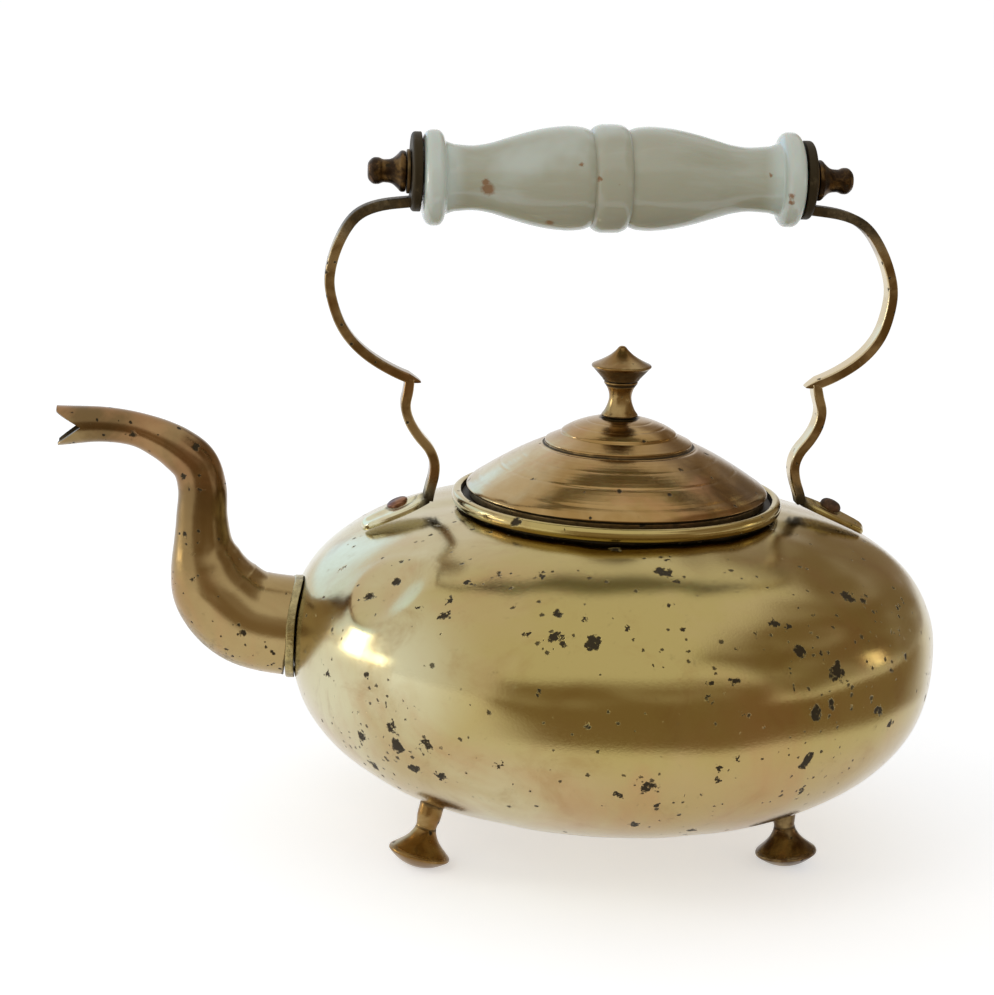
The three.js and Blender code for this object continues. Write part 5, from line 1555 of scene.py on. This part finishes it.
# Lamps: place from the body's axis, width, height, radiance, colour, and whether metal mirrors it
LAMPS = {
    "window": ((-0.92, 0.92, 0.46), 1.6, 0.5, 0.7, (0.13, 0.52, 1.0), True),
    "pane": ((-1.22, 0.34, 0.24), 0.26, 0.40, 7.0, (1.0, 0.97, 0.88), True),
    "low_pane": ((-1.24, 0.06, 0.16), 0.12, 0.16, 6.0, (1.0, 0.95, 0.75), True),
    "left_soft": ((-0.9, -0.8, 1.1), 0.7, 0.7, 1.8, (1.0, 1.0, 1.0), False),
    "low_soft": ((-0.1, -0.9, 0.08), 0.8, 0.3, 0.9, (1.0, 1.0, 1.0), False),
    "right_pane": ((0.85, 0.05, 0.2), 0.1, 0.14, 2.2, (1.0, 0.93, 0.75), True),
}
# Dim cards: place from the axis, the height that they face, width, height, colour, soft side edges
# and soft top edges
CARDS = {
    "front_card": ((0.05, -1.25, 0.24), 0.24, 3.0, 1.4, (0.36, 0.27, 0.165), 0.45, 0.42),
    "right_card": ((1.05, -0.16, 0.75), 0.1, 2.0, 1.75, (0.32, 0.24, 0.15), 0.35, 0.35),
    "back_card": ((0.98, 0.92, 0.58), 0.1, 1.7, 1.6, (0.30, 0.22, 0.13), 0.35, 0.35),
}


def soft_lamp(name, place, width, height, radiance, colour, mirrored):
    """A flat lamp that shines at the kettle, as bright as a sheet with that radiance. It shows in
    polished metal only if it is mirrored."""
    lamp = bpy.data.lights.new(name, "AREA")
    lamp.shape = "RECTANGLE"
    lamp.size, lamp.size_y = width, height
    lamp.energy = radiance * math.pi * width * height
    lamp.color = colour
    made = bpy.data.objects.new(name, lamp)
    belly = (0, 0, 0.08)
    made.matrix_world = aimed(AXIS + place, AXIS + belly)
    made.visible_glossy = mirrored
    bpy.context.scene.collection.objects.link(made)


def sheet(name, half_width, half_height):
    """A flat rectangle about its own middle."""
    x, y = half_width, half_height
    mesh = bpy.data.meshes.new(name)
    mesh.from_pydata([(-x, -y, 0), (x, -y, 0), (x, y, 0), (-x, y, 0)], [], [(0, 1, 2, 3)])
    made = bpy.data.objects.new(name, mesh)
    bpy.context.scene.collection.objects.link(made)
    material = bpy.data.materials.new(name)
    material.use_nodes = True
    material.node_tree.nodes.clear()
    mesh.materials.append(material)
    return made, material.node_tree


def card(name, place, facing, width, height, colour, side_edge, top_edge):
    """A dim card that only shows in polished metal, as a photographer sets one up. It fades out
    towards its edges."""
    made, tree = sheet(name, width / 2, height / 2)
    made.matrix_world = aimed(AXIS + place, AXIS + (0, 0, facing))
    at = node(tree, "ShaderNodeTexCoord").outputs["Object"]
    axes = node(tree, "ShaderNodeSeparateXYZ", {"Vector": at})
    near = [smooth_step(tree, maths(tree, "ABSOLUTE", axes.outputs[side]), half, half - edge)
            for side, half, edge in (("X", width / 2, side_edge), ("Y", height / 2, top_edge))]
    cloud = smooth_step(tree, noise(tree, at, 5.0 / width, 4.0), 0.3, 0.55, 0.6, 1.0)
    solid = maths(tree, "MULTIPLY", maths(tree, "MULTIPLY", near[0], near[1]), cloud)
    dim_card(made, tree, solid, colour)


def mat(clear, edge, bearing, colour):
    """A dim mat on the floor that only shows in polished metal. It keeps clear of the kettle by a
    radius, and lies on the side that its bearing points to."""
    size, lift = 1.6, 0.003
    made, tree = sheet("mat", size, size)
    made.matrix_world = Matrix.Translation((AXIS[0], 0, lift))
    at = node(tree, "ShaderNodeTexCoord").outputs["Object"]
    away = vectors(tree, "LENGTH", at, (0.0, 0.0, 0.0))
    aside = vectors(tree, "DOT_PRODUCT", at, (math.cos(bearing), math.sin(bearing), 0.0))
    ring = smooth_step(tree, away, clear, clear + edge)
    half = smooth_step(tree, aside, 0.02, 0.14)
    dim_card(made, tree, maths(tree, "MULTIPLY", ring, half), colour)


def dim_card(made, tree, solid, colour):
    """Ends the shader of a card and hides the card from all but glossy rays."""
    glow = node(tree, "ShaderNodeEmission", {"Color": opaque(colour), "Strength": 1.0})
    clear = node(tree, "ShaderNodeBsdfTransparent")
    both = node(tree, "ShaderNodeMixShader", {0: solid, 1: clear.outputs[0], 2: glow.outputs[0]})
    node(tree, "ShaderNodeOutputMaterial", {"Surface": both.outputs[0]})
    for ray in ("camera", "diffuse", "transmission", "volume_scatter", "shadow"):
        setattr(made, f"visible_{ray}", False)


def seen_rays(tree):
    """1 for rays that come from the camera, or by way of gloss or glass, and 0 for others."""
    path = node(tree, "ShaderNodeLightPath").outputs
    either = maths(tree, "ADD", path["Is Camera Ray"], path["Is Glossy Ray"])
    return maths(tree, "ADD", either, path["Is Transmission Ray"], clamp=True)


class KETTLE_OT_studio(bpy.types.Operator):
    """Set up the pale floor, the lamps, the white surroundings and the camera"""
    bl_idname = "kettle.studio"
    bl_label = "Studio"

    def execute(self, context):
        studio = context.scene.kettle_studio
        context.scene.view_settings.view_transform = "Standard"
        self.floor(studio)
        self.surroundings(context.scene, studio)
        self.lamps()
        self.camera(context.scene, studio)
        return {"FINISHED"}

    def floor(self, studio):
        """A plain pale floor that keeps the kettle's shadow."""
        size = 30
        made, tree = sheet("floor", size, size)
        tone = studio.floor_tone
        matt = node(tree, "ShaderNodeBsdfDiffuse", {"Color": (tone, tone, tone, 1)})
        lift = maths(tree, "MULTIPLY", seen_rays(tree), studio.floor_lift)
        glow = node(tree, "ShaderNodeEmission", {"Color": (1, 1, 1, 1), "Strength": lift})
        both = node(tree, "ShaderNodeAddShader", {0: matt.outputs[0], 1: glow.outputs[0]})
        node(tree, "ShaderNodeOutputMaterial", {"Surface": both.outputs[0]})

    def surroundings(self, scene, studio):
        """White surroundings for the camera, gloss and glass, and an even light for matt surfaces."""
        world = bpy.data.worlds.new("studio")
        world.use_nodes = True
        scene.world = world
        tree = world.node_tree
        tree.nodes.clear()
        even = node(tree, "ShaderNodeBackground", {"Color": (1, 1, 1, 1), "Strength": studio.room_light})
        white = node(tree, "ShaderNodeBackground", {"Color": (1, 1, 1, 1), "Strength": 1.0})
        both = node(tree, "ShaderNodeMixShader", {0: seen_rays(tree), 1: even.outputs[0],
                                                  2: white.outputs[0]})
        node(tree, "ShaderNodeOutputWorld", {"Surface": both.outputs[0]})

    def lamps(self):
        """Window-like lamps low at the left, softer ones from the front, and dim cards and a mat
        round the kettle that give the polished brass its darker reflections."""
        for name, row in LAMPS.items():
            soft_lamp(name, *row)
        for name, row in CARDS.items():
            card(name, *row)
        mat(0.185, 0.035, math.radians(-52), (0.36, 0.27, 0.165))

    def camera(self, scene, studio):
        """The camera stands off the aimed point, turned by its azimuth, elevation and roll."""
        a, e, r = studio.azimuth, studio.elevation, studio.roll
        back = Vector((math.sin(a) * math.cos(e), -math.cos(a) * math.cos(e), math.sin(e)))
        right = Vector((math.cos(a), math.sin(a), 0))
        up = back.cross(right)
        across = right * math.cos(r) + up * math.sin(r)
        upright = up * math.cos(r) - right * math.sin(r)
        target = Vector((AXIS[0] + studio.target_x, 0, studio.target_z))
        data = bpy.data.cameras.new("camera")
        data.sensor_fit = "HORIZONTAL"
        data.sensor_width = 36
        data.lens = studio.focal / PICTURE_WIDTH * data.sensor_width
        data.dof.use_dof = False
        made = bpy.data.objects.new("camera", data)
        scene.collection.objects.link(made)
        turning = Matrix((across, upright, back)).transposed().to_4x4()
        made.matrix_world = Matrix.Translation(target + back * studio.distance) @ turning
        scene.camera = made


class KETTLE_PT_sidebar(bpy.types.Panel):
    """Sizes, colours and pieces of the kettle"""
    bl_idname = "KETTLE_PT_sidebar"
    bl_label = "Tripod kettle"
    bl_space_type = "VIEW_3D"
    bl_region_type = "UI"
    bl_category = "Kettle"

    def draw(self, context):
        for kind in OPERATORS:
            self.layout.operator(kind.bl_idname)
        for attribute, kind in SETTINGS.items():
            box = self.layout.box()
            box.label(text=kind.__doc__)
            for name in kind.__annotations__:
                box.prop(getattr(context.scene, attribute), name)


SETTINGS = {
    "kettle_body": KettleBodySizes,
    "kettle_lid": KettleLidSizes,
    "kettle_spout": KettleSpoutSizes,
    "kettle_handle": KettleHandleSizes,
    "kettle_grip": KettleGripSizes,
    "kettle_foot": KettleFootSizes,
    "kettle_colours": KettleColours,
    "kettle_studio": KettleStudio,
}
OPERATORS = (KETTLE_OT_body, KETTLE_OT_collar, KETTLE_OT_spout, KETTLE_OT_lid, KETTLE_OT_knob,
             KETTLE_OT_straps, KETTLE_OT_grip, KETTLE_OT_feet, KETTLE_OT_fixings, KETTLE_OT_studio)


def register():
    """Registers the settings, the operators and the panel."""
    for kind in (*SETTINGS.values(), *OPERATORS, KETTLE_PT_sidebar):
        bpy.utils.register_class(kind)
    for attribute, kind in SETTINGS.items():
        setattr(bpy.types.Scene, attribute, PointerProperty(type=kind))


def unregister():
    """Takes them away again."""
    for attribute in SETTINGS:
        delattr(bpy.types.Scene, attribute)
    for kind in (KETTLE_PT_sidebar, *reversed(OPERATORS), *reversed(SETTINGS.values())):
        bpy.utils.unregister_class(kind)


def corners(bounds):
    """A box's two corners as plain lists."""
    return [list(corner) for corner in bounds]


def main():
    register()
    bpy.ops.kettle.body()
    bpy.ops.kettle.collar()
    bpy.ops.kettle.spout()
    bpy.ops.kettle.lid()
    bpy.ops.kettle.knob()
    bpy.ops.kettle.straps()
    bpy.ops.kettle.grip()
    bpy.ops.kettle.feet()
    bpy.ops.kettle.fixings()
    bpy.ops.kettle.studio()


if __name__ == "__main__":
    main()
